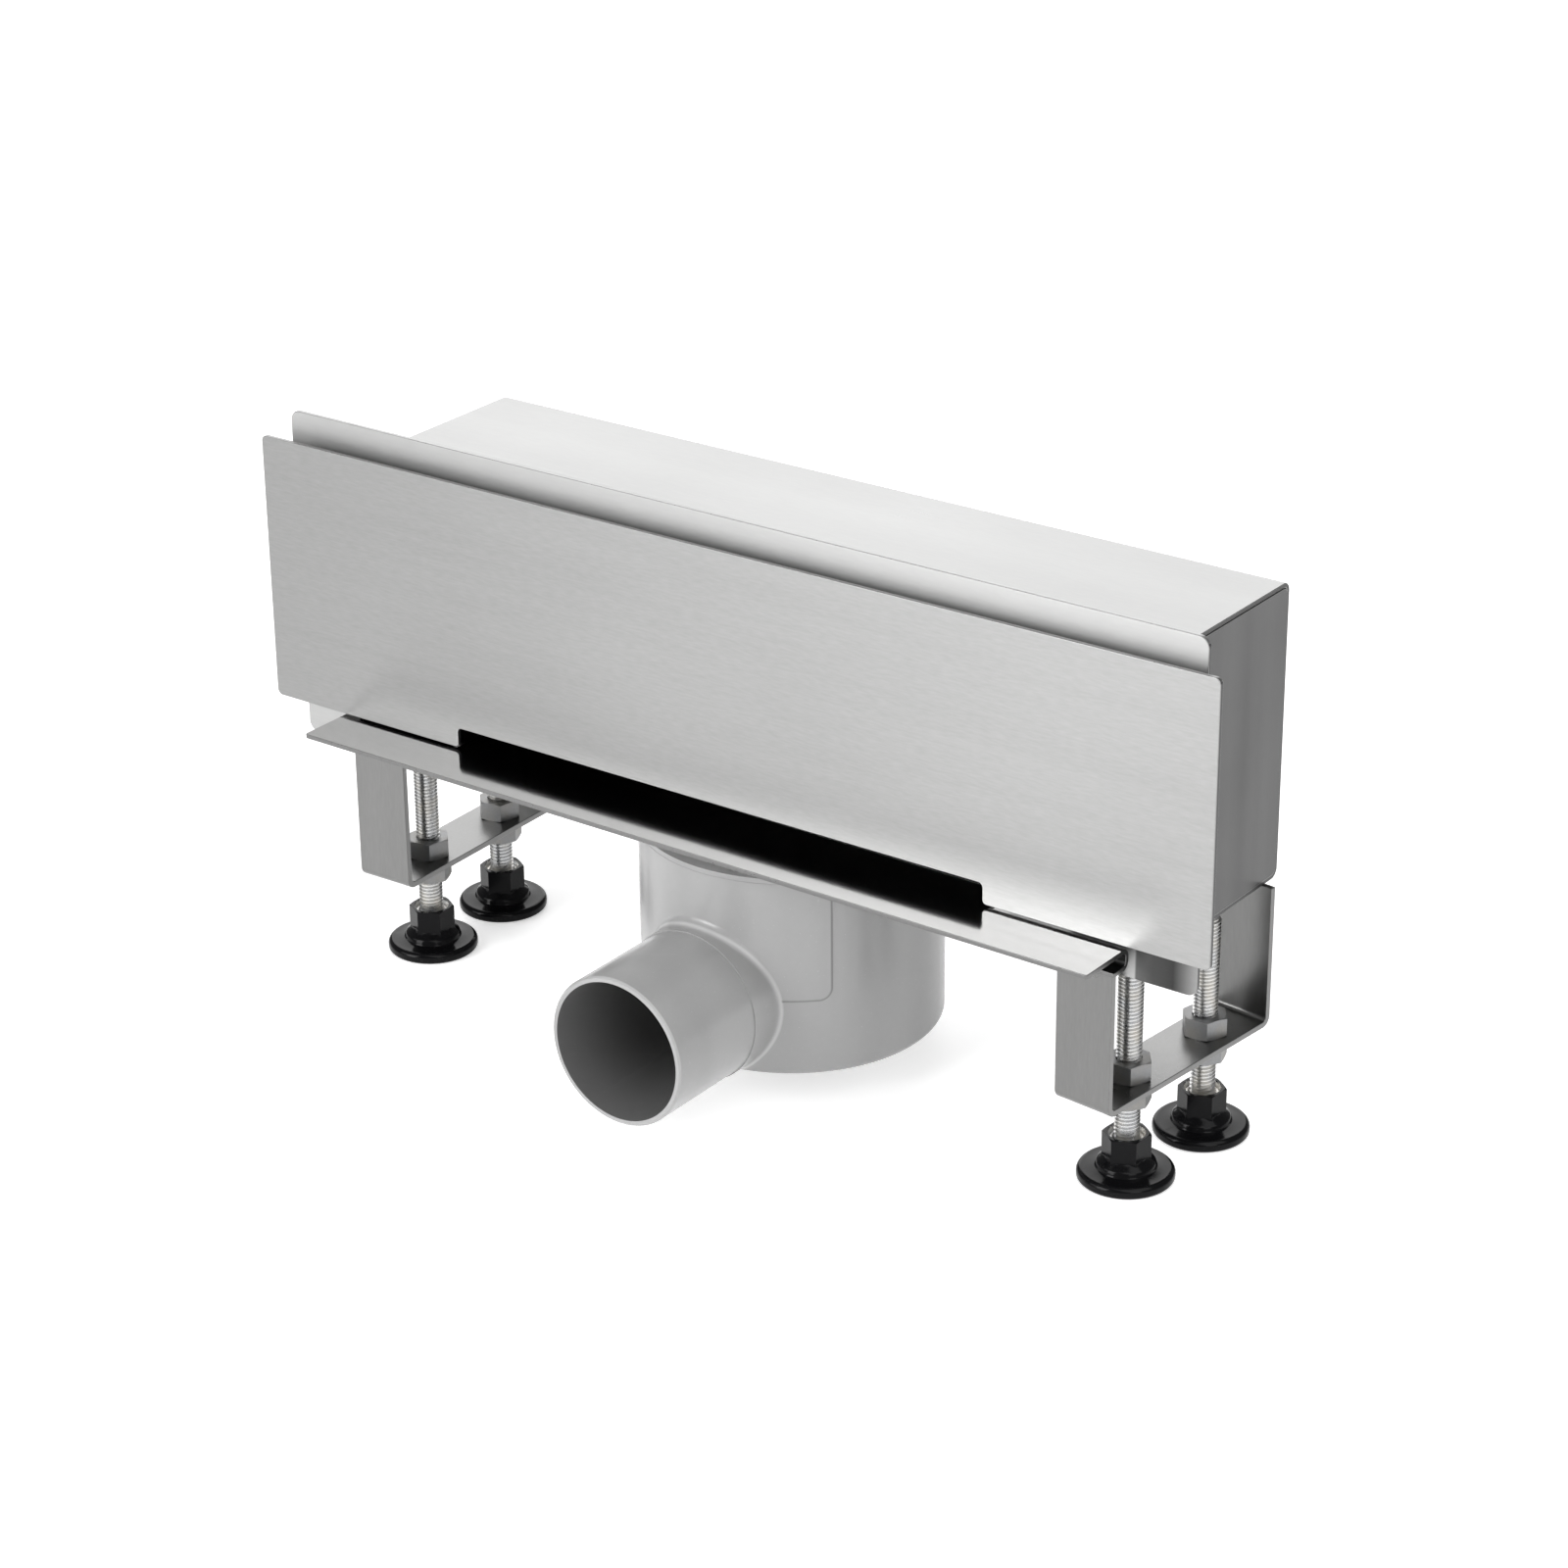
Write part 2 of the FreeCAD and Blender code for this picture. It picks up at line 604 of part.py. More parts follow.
def make_foot(name, x, y, turn):
    """Moulded foot: low disc with a rounded rim, flare and hexagon collar."""
    body = new_body(name, x=x, y=y, turn=turn)
    outline = new_sketch(body, name + "_outline", "XZ_Plane")
    draw_outline(outline, [
        ("0", "0"), ("foot_radius", "0"), ("foot_radius", "foot_edge"),
        ("foot_radius - foot_round - foot_rise", "foot_edge"),
        ("flare_radius + foot_rise", "foot_edge + foot_rise"),
        ("flare_radius", "flare_height"), ("collar_flats / 2 + foot_rise", "collar_start"),
        ("collar_flats / 2 - foot_rise", "collar_start + flare_close"),
        ("0", "collar_start + flare_close")])
    turn_profile(body, name + "_disc", outline)
    rim, edge = number("foot_radius"), number("foot_edge")
    flare, waist = number("flare_radius"), number("flare_height")

    def ring_at(radius, height):
        def test(curve, middle, along):
            round_edge = curve.Curve.TypeId == "Part::GeomCircle"
            return round_edge and near(curve.Curve.Radius, radius) and near(middle.z, height)
        return test
    soften(body, name + "_rim", "foot_round", ring_at(rim, edge))
    soften(body, name + "_waist", "flare_round", ring_at(flare, waist))
    soften(body, name + "_sole", "sole_round", ring_at(rim, 0))
    collar = new_sketch(body, name + "_collar_outline", "XY_Plane", lift="collar_start - collar_sink")
    draw_hexagon(collar, "collar_corner", "collar_flats")
    pad(body, name + "_collar", collar, "collar_top - collar_start + collar_sink")
    corner = new_sketch(body, name + "_collar_chamfer_outline", "XZ_Plane")
    draw_outline(corner, [("collar_flats / 2 + chamfer_start", "collar_top"),
                          ("collar_corner * chamfer_reach", "collar_top"),
                          ("collar_corner * chamfer_reach", "collar_top - collar_chamfer")])
    turn_profile(body, name + "_collar_chamfer", corner, cut=True)
    bore = new_sketch(body, name + "_bore_outline", "XZ_Plane")
    seat = "collar_top - recess_depth"
    draw_outline(bore, [
        ("0", "rod_seat"), ("rod_radius + thread_gap", "rod_seat"),
        ("rod_radius + thread_gap", seat + " - bush_height"),
        ("bush_radius", seat + " - bush_height"), ("bush_radius", seat),
        ("recess_radius", "collar_top"), ("0", "collar_top")])
    turn_profile(body, name + "_bore", bore, cut=True)


def make_bush(name, x, y):
    """Metal bush pressed into the foot's collar, with a countersunk mouth."""
    body = new_body(name, x=x, y=y, z="collar_top - recess_depth - bush_height")
    outline = new_sketch(body, name + "_outline", "XZ_Plane")
    inner = "rod_radius + thread_gap"
    draw_outline(outline, [
        (inner, "0"), ("bush_radius", "0"), ("bush_radius", "bush_height"),
        (inner + " + bush_countersink", "bush_height"),
        (inner, "bush_height - bush_countersink")])
    turn_profile(body, name + "_sleeve", outline)


def make_supports():
    for side, sign in (("left", "-"), ("right", "")):
        make_bracket(side, sign)
        for row in ("front", "rear"):
            place = "%s_%s_" % (row, side)
            x, y = rod_place(sign, side, row)
            turn = side + "_turn"
            make_rod(place + "rod", x, y)
            below = "bracket_height - nut_height"
            make_nut(place + "upper_nut", x, y, "strip_top", turn + " + upper_nut_turn")
            make_nut(place + "lower_nut", x, y, below, turn + " + lower_nut_turn")
            make_foot(place + "foot", x, y, turn + " + foot_turn")
            make_bush(place + "bush", x, y)


# Outlet and trap

def make_neck():
    """Steel neck through the floor: flange above, tube below, ledge inside its foot."""
    body = new_body("outlet_neck", y="trap_axis", z="box_bottom")
    outline = new_sketch(body, "neck_outline", "XZ_Plane")
    top, foot = "(wall_thick + neck_wall)", "(-neck_length)"
    inside = "neck_radius - neck_wall"
    draw_outline(outline, [
        (inside, top), ("neck_flange", top), ("neck_flange", "wall_thick"),
        ("neck_radius", "wall_thick"), ("neck_radius", foot), ("neck_ledge", foot),
        ("neck_ledge", foot + " + neck_wall"), (inside, foot + " + neck_wall")])
    turn_profile(body, "neck_ring", outline)


def make_trap_body():
    """Moulded cup with a side spigot blended into its wall and a slightly raised
    saddle round the spigot, up to the lid."""
    body = new_body("trap_body", y="trap_axis", z="trap_bottom")
    height = "(lid_bottom - trap_bottom)"
    outline = new_sketch(body, "trap_outline", "XZ_Plane")
    draw_box(outline, "0", "trap_radius", "0", height)
    turn_profile(body, "trap_block", outline)
    radius = number("trap_radius")

    def base_ring(edge, middle, along):
        round_edge = edge.Curve.TypeId == "Part::GeomCircle"
        return round_edge and near(edge.Curve.Radius, radius) and near(middle.z, 0)
    soften(body, "trap_base_round", "trap_round", base_ring)
    axis_height = "(spigot_height - trap_bottom)"
    inner_end = "(trap_radius - spigot_inside)"
    spigot_length = "(trap_setback + spigot_reach)"
    spigot = new_sketch(body, "spigot_outline", "XZ_Plane", lift=inner_end)
    draw_circle(spigot, "spigot_radius", y=axis_height)
    pad(body, "spigot_pipe", spigot, spigot_length + " - " + inner_end)
    root = new_sketch(body, "root_outline", "XZ_Plane", lift=inner_end)
    draw_circle(root, "spigot_radius + root_proud", y=axis_height)
    pad(body, "spigot_root", root, "trap_setback + spigot_root - " + inner_end)

    def spigot_root(edge, middle, along):
        on_wall = abs(math.hypot(middle.x, middle.y) - radius) < TINY
        return edge.Curve.TypeId == "Part::GeomBSplineCurve" and on_wall
    soften(body, "spigot_blend", "spigot_fillet", spigot_root)
    spigot_end = number("-" + spigot_length)

    def end_ring(edge, middle, along):
        return near(middle.y, spigot_end) and edge.Curve.TypeId == "Part::GeomCircle"
    soften(body, "spigot_end_chamfer", "spigot_chamfer", end_ring, kind="Chamfer")
    saddle = new_sketch(body, "saddle_outline", "YZ_Plane")
    draw_box(saddle, "-trap_radius - saddle_proud", "-trap_radius + trap_wall / 2",
             "saddle_foot - trap_bottom", height)
    turn_profile(body, "saddle", saddle, angle="saddle_angle", middle=True)
    foot = number("saddle_foot - trap_bottom")

    def saddle_corner(edge, middle, along):
        outside = math.hypot(middle.x, middle.y) > radius
        across = near(along.z, 0) and along.Length < 2 * number("saddle_proud")
        return outside and near(middle.z, foot) and across
    soften(body, "saddle_corners", "saddle_corner", saddle_corner)
    hollow = new_sketch(body, "hollow_outline", "XZ_Plane")
    draw_box(hollow, "0", "trap_radius - trap_wall", "trap_base", height)
    turn_profile(body, "hollow", hollow, cut=True)
    bore = new_sketch(body, "spigot_bore_outline", "XZ_Plane", lift=inner_end + " + spigot_wall")
    draw_circle(bore, "spigot_radius - spigot_wall", y=axis_height)
    pocket(body, "spigot_bore", bore, spigot_length, backwards=True)


def make_trap_lid():
    """Lid on the trap body: a boss under the box's floor, a socket round the neck
    for its seal and a ring inside the body's wall."""
    body = new_body("trap_lid", y="trap_axis", z="lid_bottom")
    outline = new_sketch(body, "lid_outline", "XZ_Plane")
    top, boss_top = "(lid_top - lid_bottom)", "lid_drop"
    foot = "(lid_drop - socket_drop)"
    ring = "(trap_radius - trap_wall - insert_gap)"
    draw_outline(outline, [
        ("neck_radius + hole_gap", "0"), ("neck_radius + hole_gap", boss_top),
        ("lid_boss", boss_top), ("lid_boss", top), ("lid_radius", top), ("lid_radius", "0"),
        (ring, "0"), (ring, "-lid_ring"), (ring + " - socket_wall", "-lid_ring"),
        (ring + " - socket_wall", "0"), ("socket_radius + socket_wall", "0"),
        ("socket_radius + socket_wall", foot), ("socket_radius", foot),
        ("socket_radius", "0")])
    turn_profile(body, "lid_ring_and_socket", outline)


def make_ring(name, major, minor, z):
    """Rubber ring of round section about the trap's axis."""
    ring = document.addObject("Part::Torus", name)
    ring.Label = name
    ring.setExpression("Radius1", bind(major))
    ring.setExpression("Radius2", bind(minor))
    ring.setExpression("Placement.Base.y", bind("trap_axis"))
    ring.setExpression("Placement.Base.z", bind(z))
    document.recompute()
    finished.append(ring)


def make_seals():
    make_ring("neck_seal", "neck_radius + seal_space / 2", "seal_space / 2 - seal_gap",
              "box_bottom - seal_drop")
    body = new_body("insert_gasket", y="trap_axis", z="ledge_top")
    outline = new_sketch(body, "gasket_outline", "XZ_Plane")
    draw_box(outline, "neck_ledge + insert_gap", "neck_radius - neck_wall - insert_gap",
             "0", "gasket_height")
    turn_profile(body, "gasket_ring", outline)


def make_dip_tube():
    """Funnel flange on the gasket, with a tube down into the seal cup."""
    body = new_body("dip_tube", y="trap_axis", z="flange_seat")
    outline = new_sketch(body, "dip_tube_outline", "XZ_Plane")
    outer = "(neck_radius - neck_wall - insert_gap)"
    inner = "tube_radius - tube_wall"
    foot = "(tube_end - flange_seat)"
    draw_outline(outline, [
        ("tube_radius", "0"), (outer, "0"), (outer, "tube_rim"),
        (outer + " - tube_wall", "tube_rim"), (outer + " - tube_wall", "tube_flange"),
        ("tube_radius + tube_wall", "tube_flange"), (inner, "0"), (inner, foot),
        ("tube_radius", foot)])
    turn_profile(body, "dip_tube_wall", outline)
    grip = new_sketch(body, "grip_outline", "XZ_Plane")
    draw_box(grip, "-" + outer + " + tube_wall / 2", outer + " - tube_wall / 2",
             "tube_flange", "tube_rim")
    pad(body, "grip_bar", grip, "grip_thick", middle=True)


def make_seal_cup():
    """Cup round the dip tube that holds the water seal, on ears under its flange."""
    body = new_body("seal_cup", y="trap_axis", z="cup_bottom")
    rim = "(cup_rim - cup_bottom)"
    outline = new_sketch(body, "cup_outline", "XZ_Plane")
    draw_box(outline, "0", "cup_radius", "0", rim)
    turn_profile(body, "cup_block", outline)
    radius = number("cup_radius")

    def base_ring(edge, middle, along):
        round_edge = edge.Curve.TypeId == "Part::GeomCircle"
        return round_edge and near(edge.Curve.Radius, radius) and near(middle.z, 0)
    soften(body, "cup_base_round", "cup_round", base_ring)
    hollow = new_sketch(body, "cup_hollow_outline", "XZ_Plane")
    draw_box(hollow, "0", "cup_radius - cup_wall", "cup_wall", rim)
    turn_profile(body, "cup_hollow", hollow, cut=True)
    ear = new_sketch(body, "ear_outline", "XY_Plane", lift=rim + " - ear_lap")
    draw_box(ear, "cup_radius - cup_wall", "cup_radius", "-ear_width / 2", "ear_width / 2")
    pad(body, "ear", ear, "cup_drop + ear_lap")
    pattern = body.newObject("PartDesign::PolarPattern", "ears")
    pattern.Originals = [body.Tip]
    pattern.Axis = (ear, ["N_Axis"])
    pattern.Angle = 360
    pattern.setExpression("Occurrences", bind("ear_count"))
    body.Tip = pattern
    document.recompute()


def make_strainer():
    """Perforated lid with a turned-down lip, lying on the neck's flange."""
    body = new_body("strainer", y="trap_axis", z="strainer_top")
    outline = new_sketch(body, "strainer_outline", "XZ_Plane")
    lip = "neck_radius - neck_wall - insert_gap"
    draw_outline(outline, [
        ("0", "0"), ("strainer_radius", "0"), ("strainer_radius", "-strainer_thick"),
        (lip, "-strainer_thick"), (lip, "-strainer_thick - strainer_lip"),
        (lip + " - strainer_thick", "-strainer_thick - strainer_lip"),
        (lip + " - strainer_thick", "-strainer_thick"), ("0", "-strainer_thick")])
    turn_profile(body, "strainer_disc", outline)
    holes = new_sketch(body, "strainer_holes_outline", "XY_Plane")
    draw_circle(holes, "strainer_hole")
    for ring in range(1, int(number("strainer_rings")) + 1):
        for step in range(6 * ring):
            angle = step * 60 / ring
            reach = "%d * strainer_pitch" % ring
            draw_circle(holes, "strainer_hole", x="%s * cos(%g)" % (reach, angle),
                        y="%s * sin(%g)" % (reach, angle))
    pocket(body, "strainer_holes", holes, "3 * strainer_thick", middle=True)


def check_document():
    """Stop if any object failed or any sub-part has no valid solid."""
    for item in document.Objects:
        if "Invalid" in item.State or "Error" in item.State:
            raise RuntimeError(item.Name + " did not compute")
    for item in finished:
        if item.Shape.isNull() or not item.Shape.isValid() or not item.Shape.Solids:
            raise RuntimeError(item.Label + " has no valid solid")


def write_parts():
    os.makedirs("parts", exist_ok=True)
    for item in finished:
        item.Shape.exportStep("parts/%s.step" % item.Label)


make_cover()
make_magnets()
make_flange()
make_wrap()
make_ends()
make_sill()
make_supports()
make_neck()
make_trap_body()
make_trap_lid()
make_seals()
make_dip_tube()
make_seal_cup()
make_strainer()
document.recompute()
check_document()
write_parts()
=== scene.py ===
import json
import math

import bpy
from mathutils import Matrix, Vector

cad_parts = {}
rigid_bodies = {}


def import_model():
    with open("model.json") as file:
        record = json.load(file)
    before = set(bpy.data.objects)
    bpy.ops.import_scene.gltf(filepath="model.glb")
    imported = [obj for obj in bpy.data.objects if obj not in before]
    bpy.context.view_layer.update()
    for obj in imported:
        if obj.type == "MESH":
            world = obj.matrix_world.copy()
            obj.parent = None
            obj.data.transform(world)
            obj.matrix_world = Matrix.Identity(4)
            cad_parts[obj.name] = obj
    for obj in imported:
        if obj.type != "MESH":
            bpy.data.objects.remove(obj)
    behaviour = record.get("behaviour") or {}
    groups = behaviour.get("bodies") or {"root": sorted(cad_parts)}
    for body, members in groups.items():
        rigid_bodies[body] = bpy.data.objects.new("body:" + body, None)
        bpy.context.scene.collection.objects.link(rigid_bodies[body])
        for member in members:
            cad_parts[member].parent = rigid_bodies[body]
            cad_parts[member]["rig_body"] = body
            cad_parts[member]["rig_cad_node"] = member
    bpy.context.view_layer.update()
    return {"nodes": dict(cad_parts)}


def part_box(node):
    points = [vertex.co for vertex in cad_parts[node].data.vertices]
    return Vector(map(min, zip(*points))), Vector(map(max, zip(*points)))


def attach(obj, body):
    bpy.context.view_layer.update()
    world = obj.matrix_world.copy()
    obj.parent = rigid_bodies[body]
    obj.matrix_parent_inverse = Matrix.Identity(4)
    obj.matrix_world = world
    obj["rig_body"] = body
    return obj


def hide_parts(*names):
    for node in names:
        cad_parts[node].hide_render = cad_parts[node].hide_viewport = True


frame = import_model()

bl_info = {
    "name": "Linear Shower Drain",
    "version": (1, 0, 0),
    "blender": (4, 5, 0),
    "location": "View3D > Sidebar > Shower Drain",
    "description": "Dresses the packed shower drain: finishes, rounded edges, threads, stage",
    "category": "Add Mesh",
}

SIDES = ("left", "right")
ROWS = ("front", "rear")
LEVELS = ("lower", "upper")
CORNERS = [row + "_" + side for side in SIDES for row in ROWS]

# metres between two points that are one, and from a piece's side to what still lies on it
TINY = 1e-6
NEAR = 0.0001

# how much of a face's normal points along an axis
LEANING = 0.3
MOSTLY = 0.5
NEARLY_ALL = 0.9

# angles under which two faces are made one face, or are shaded as one
ONE_FACE = math.radians(0.5)
SMOOTH = math.radians(50)
SMOOTH_THREAD = math.radians(30)

# how far below the sill's top the room inside its hem begins and ends, where faces take painted
# shade
HEM_TOP = 0.0016
HEM_FOOT = 0.0056

# how far the flared recess in a foot's collar reaches beyond the bush's radius
MOUTH_FLARE = 0.0006

# the spigot's bore, whose faces take painted shade, lies in front of this place on Y, within
# this reach of the spigot's axis
BORE_BACK = -0.03
BORE_REACH = 0.024

# the slots of a piece's materials, in the order in which dress takes them
FIRST, SECOND, THIRD = range(3)

# numbers of the Mix node's sockets for colours, because those for numbers have the same names
MIX_FACTOR = 0
MIX_FIRST = 6
MIX_SECOND = 7
MIX_RESULT = 2

# what a noise is on average
NOISE_MIDDLE = 0.5

# red, green and blue of the warm blotches in zinc, as shares of the plating's own
WARMTH = (1.02, 0.99, 0.93)

# brightness left by the painted shade on the flange's ear, from the box's end, 0, to the
# flange's end, 1
EAR_SHADE_STOPS = [(0, 0.3), (1, 0.6), (0.3, 0.16), (0.62, 0.1), (0.8, 0.3)]

# the painted shade begins this far above the cover's foot, and comes to full at this rate a
# metre
EAR_SHADE_OVERLAP = 0.0005
EAR_SHADE_RISE = 1500

# the rate a metre at which the trap's painted shade line and painted highlight ring come to
# full, and how dark and bright they are
PAINTED_MARK_RISE = 4000
SADDLE_LINE_SHADE = 0.5
RING_HIGHLIGHT = 0.45

# the stage: the floor's width, the point that the lamps look at, and then each lamp's place,
# its width and height, and its power in watts
FLOOR_WIDTH = 30
DRAIN_MIDDLE = Vector((0, 0, 0.1))
SOFTBOXES = {
    "overhead_softbox": ((0.9, -0.4, 1.6), (1.8, 1.8), 24),
    "key_softbox": ((-0.72, -1.92, 0.85), (0.95, 1.5), 36),
    "left_softbox": ((-1.45, -1.55, 1.0), (0.8, 0.8), 7),
    "right_softbox": ((1.5, -0.9, 0.7), (0.8, 0.8), 6),
    "back_softbox": ((-1.2, 1.65, 1.15), (1.8, 1.8), 24),
}


class DrainSizes(bpy.types.PropertyGroup):
    sheet_round: bpy.props.FloatProperty(
        name="Sheet edge rounding", description="Rounding left on cut sheet edges",
        default=0.00022, unit="LENGTH")
    plastic_round: bpy.props.FloatProperty(
        name="Moulded edge rounding", description="Rounding of moulded edges",
        default=0.0003, unit="LENGTH")
    thread_pitch: bpy.props.FloatProperty(
        name="Thread pitch", description="Rise of the rod's thread in one turn",
        default=0.00125, unit="LENGTH")
    thread_depth: bpy.props.FloatProperty(
        name="Thread depth", description="Depth of the rod's thread",
        default=0.00068, unit="LENGTH")
    thread_steps: bpy.props.IntProperty(
        name="Thread steps", description="Faces round one turn of the thread", default=28)
    saddle_turn: bpy.props.FloatProperty(
        name="Saddle half angle", description="Half of the angle that the saddle spans",
        default=math.radians(50), subtype="ANGLE")
    saddle_foot: bpy.props.FloatProperty(
        name="Saddle foot", description="Lower edge of the saddle above the slab",
        default=0.0374, unit="LENGTH")
    saddle_corner: bpy.props.FloatProperty(
        name="Saddle corner", description="Corner radius of the saddle",
        default=0.004, unit="LENGTH")
    spigot_height: bpy.props.FloatProperty(
        name="Spigot height", description="Axis of the side spigot above the slab",
        default=0.034, unit="LENGTH")
    # the bright ring is a painted highlight
    highlight_ring_radius: bpy.props.FloatProperty(
        name="Ring radius", description="Radius of the bright ring at the spigot's root",
        default=0.026, unit="LENGTH")
    # the marks are painted: a line of shade round the saddle's edge and a highlight ring
    painted_line_width: bpy.props.FloatProperty(
        name="Mark width", description="Half the width of the marks left by the mould",
        default=0.00045, unit="LENGTH")
    rod_chamfer: bpy.props.FloatProperty(
        name="Rod chamfer", description="Chamfer at the ends of the threaded rods",
        default=0.0007, unit="LENGTH")


class DrainColours(bpy.types.PropertyGroup):
    cover: bpy.props.FloatVectorProperty(
        name="Cover", description="Brushed steel of the front cover",
        default=(0.262, 0.262, 0.26), subtype="COLOR")
    housing: bpy.props.FloatVectorProperty(
        name="Box", description="Satin steel of the folded box",
        default=(0.266, 0.266, 0.264), subtype="COLOR")
    # painted shade: the end sheets' steel is made much darker than the box's
    end_sheet: bpy.props.FloatVectorProperty(
        name="End sheets", description="Steel of the box's end sheets",
        default=(0.1, 0.1, 0.1), subtype="COLOR")
    flange: bpy.props.FloatVectorProperty(
        name="Flange", description="Steel of the mounting flange",
        default=(0.37, 0.37, 0.368), subtype="COLOR")
    sill: bpy.props.FloatVectorProperty(
        name="Sill", description="Polished steel of the sill",
        default=(0.74, 0.74, 0.736), subtype="COLOR")
    # painted shade: the sheared ends are given a steel far darker than the sheets' faces
    cut_face_shade: bpy.props.FloatVectorProperty(
        name="Cut faces", description="Rough cut faces at the ends of the sheets",
        default=(0.09, 0.09, 0.09), subtype="COLOR")
    # painted shade: the sill's front edge and ends are given a steel far darker than its face
    sill_edge_shade: bpy.props.FloatVectorProperty(
        name="Sill edge", description="Front edge and ends of the sill",
        default=(0.17, 0.17, 0.169), subtype="COLOR")
    # painted shade inside the sill's hem, near black
    hem_shade: bpy.props.FloatVectorProperty(
        name="Hem inside", description="Unfinished steel inside the sill's hem",
        default=(0.03, 0.03, 0.03), subtype="COLOR")
    bracket: bpy.props.FloatVectorProperty(
        name="Brackets", description="Steel strip of the brackets",
        default=(0.182, 0.182, 0.18), subtype="COLOR")
    zinc: bpy.props.FloatVectorProperty(
        name="Zinc", description="Bright plating of the rods and magnets",
        default=(0.54, 0.544, 0.55), subtype="COLOR")
    nut: bpy.props.FloatVectorProperty(
        name="Nuts", description="Darker plating of the nuts",
        default=(0.24, 0.242, 0.246), subtype="COLOR")
    mouth: bpy.props.FloatVectorProperty(
        name="Bushes", description="Metal bushes in the feet, with their flared mouths",
        default=(0.85, 0.85, 0.85), subtype="COLOR")
    trap: bpy.props.FloatVectorProperty(
        name="Trap", description="Grey plastic of the trap",
        default=(0.285, 0.285, 0.285), subtype="COLOR")
    # painted shade in the spigot's bore
    bore: bpy.props.FloatVectorProperty(
        name="Spigot bore", description="Inner wall of the trap's side spigot",
        default=(0.12, 0.12, 0.12), subtype="COLOR")
    foot: bpy.props.FloatVectorProperty(
        name="Feet", description="Black plastic of the feet",
        default=(0.004, 0.004, 0.0045), subtype="COLOR")
    insert: bpy.props.FloatVectorProperty(
        name="Insert", description="Pale plastic of the trap's insert",
        default=(0.62, 0.62, 0.6), subtype="COLOR")
    seal: bpy.props.FloatVectorProperty(
        name="Seals", description="Black rubber of the neck seal and the gasket",
        default=(0.022, 0.022, 0.023), subtype="COLOR")


class DrainStage(bpy.types.PropertyGroup):
    camera_place: bpy.props.FloatVectorProperty(
        name="Camera", description="Where the camera stands",
        default=(0.7069, -0.9494, 0.6304), subtype="TRANSLATION", unit="LENGTH")
    camera_azimuth: bpy.props.FloatProperty(
        name="Azimuth", description="Turn of the camera to the right of the front view",
        default=math.radians(36.154), subtype="ANGLE")
    camera_elevation: bpy.props.FloatProperty(
        name="Elevation", description="Angle by which the camera looks down",
        default=math.radians(24.676), subtype="ANGLE")
    camera_roll: bpy.props.FloatProperty(
        name="Roll", description="Tilt of the camera about its own axis",
        default=math.radians(-0.551), subtype="ANGLE")
    camera_lens: bpy.props.FloatProperty(
        name="Lens", description="Focal length in millimetres", default=94.82)
    camera_shift: bpy.props.FloatVectorProperty(
        name="Shift", description="Shift of the picture, in picture widths",
        size=2, default=(-0.0007, 0.0210))
    floor_colour: bpy.props.FloatVectorProperty(
        name="Floor", description="Colour of the floor",
        default=(0.93, 0.93, 0.93), subtype="COLOR")
    floor_glow: bpy.props.FloatProperty(
        name="Floor glow", description="Light that the floor gives off, as a light table does",
        default=0.48)
    sky_strength: bpy.props.FloatProperty(
        name="Surroundings", description="Brightness of the white surroundings", default=0.26)


def clear_selection():
    """Leaves edit mode and deselects everything."""
    if bpy.context.mode != "OBJECT":
        bpy.ops.object.mode_set(mode="OBJECT")
    bpy.ops.object.select_all(action="DESELECT")


def make_active(piece):
    """Selects one object alone."""
    clear_selection()
    piece.select_set(True)
    bpy.context.view_layer.objects.active = piece


def apply_modifiers(piece):
    """Makes the piece's modifiers part of its mesh."""
    make_active(piece)
    for modifier in list(piece.modifiers):
        bpy.ops.object.modifier_apply(modifier=modifier.name)


def named_copy(source, name):
    """A copy of an object with a mesh of its own."""
    make_active(source)
    bpy.ops.object.duplicate()
    piece = bpy.context.view_layer.objects.active
    piece.name = name
    piece.data.name = name
    return piece


def merged_copy(node, name):
    """A copy of a CAD node with its loose triangles merged into whole faces."""
    piece = named_copy(frame["nodes"][node], name)
    piece.parent = None
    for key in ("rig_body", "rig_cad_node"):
        del piece[key]
    piece.data.materials.clear()
    bpy.ops.object.mode_set(mode="EDIT")
    bpy.ops.mesh.select_all(action="SELECT")
    bpy.ops.mesh.remove_doubles(threshold=TINY)
    bpy.ops.mesh.dissolve_limited(angle_limit=ONE_FACE, delimit=set())
    bpy.ops.object.mode_set(mode="OBJECT")
    return piece


def round_edges(piece, width, angle=40, edge_slot=-1):
    """Rounds the edges where faces meet at more than an angle in degrees. The rounding keeps
    the material of the faces beside it, or takes the one in its own slot."""
    bevel = piece.modifiers.new("rounding", "BEVEL")
    bevel.width = width
    bevel.segments = 2
    bevel.limit_method = "ANGLE"
    bevel.angle_limit = math.radians(angle)
    bevel.material = edge_slot
    apply_modifiers(piece)
    bpy.ops.object.shade_smooth_by_angle(angle=SMOOTH)
    weighted = piece.modifiers.new("flat_faces", "WEIGHTED_NORMAL")
    weighted.mode = "FACE_AREA"
    weighted.weight = 100
    weighted.keep_sharp = True
    apply_modifiers(piece)


def dress(piece, node, slot, *materials):
    """The piece takes its materials and stands for its CAD node."""
    for material in materials:
        piece.data.materials.append(material)
    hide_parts(node)
    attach(piece, "root")


def sheared_end_slot(normal, fall):
    """Slot of a sheet's face: the third is for its sheared ends, which look along the drain and
    take painted shade.
    """
    return THIRD if abs(normal.x) > NEARLY_ALL else FIRST


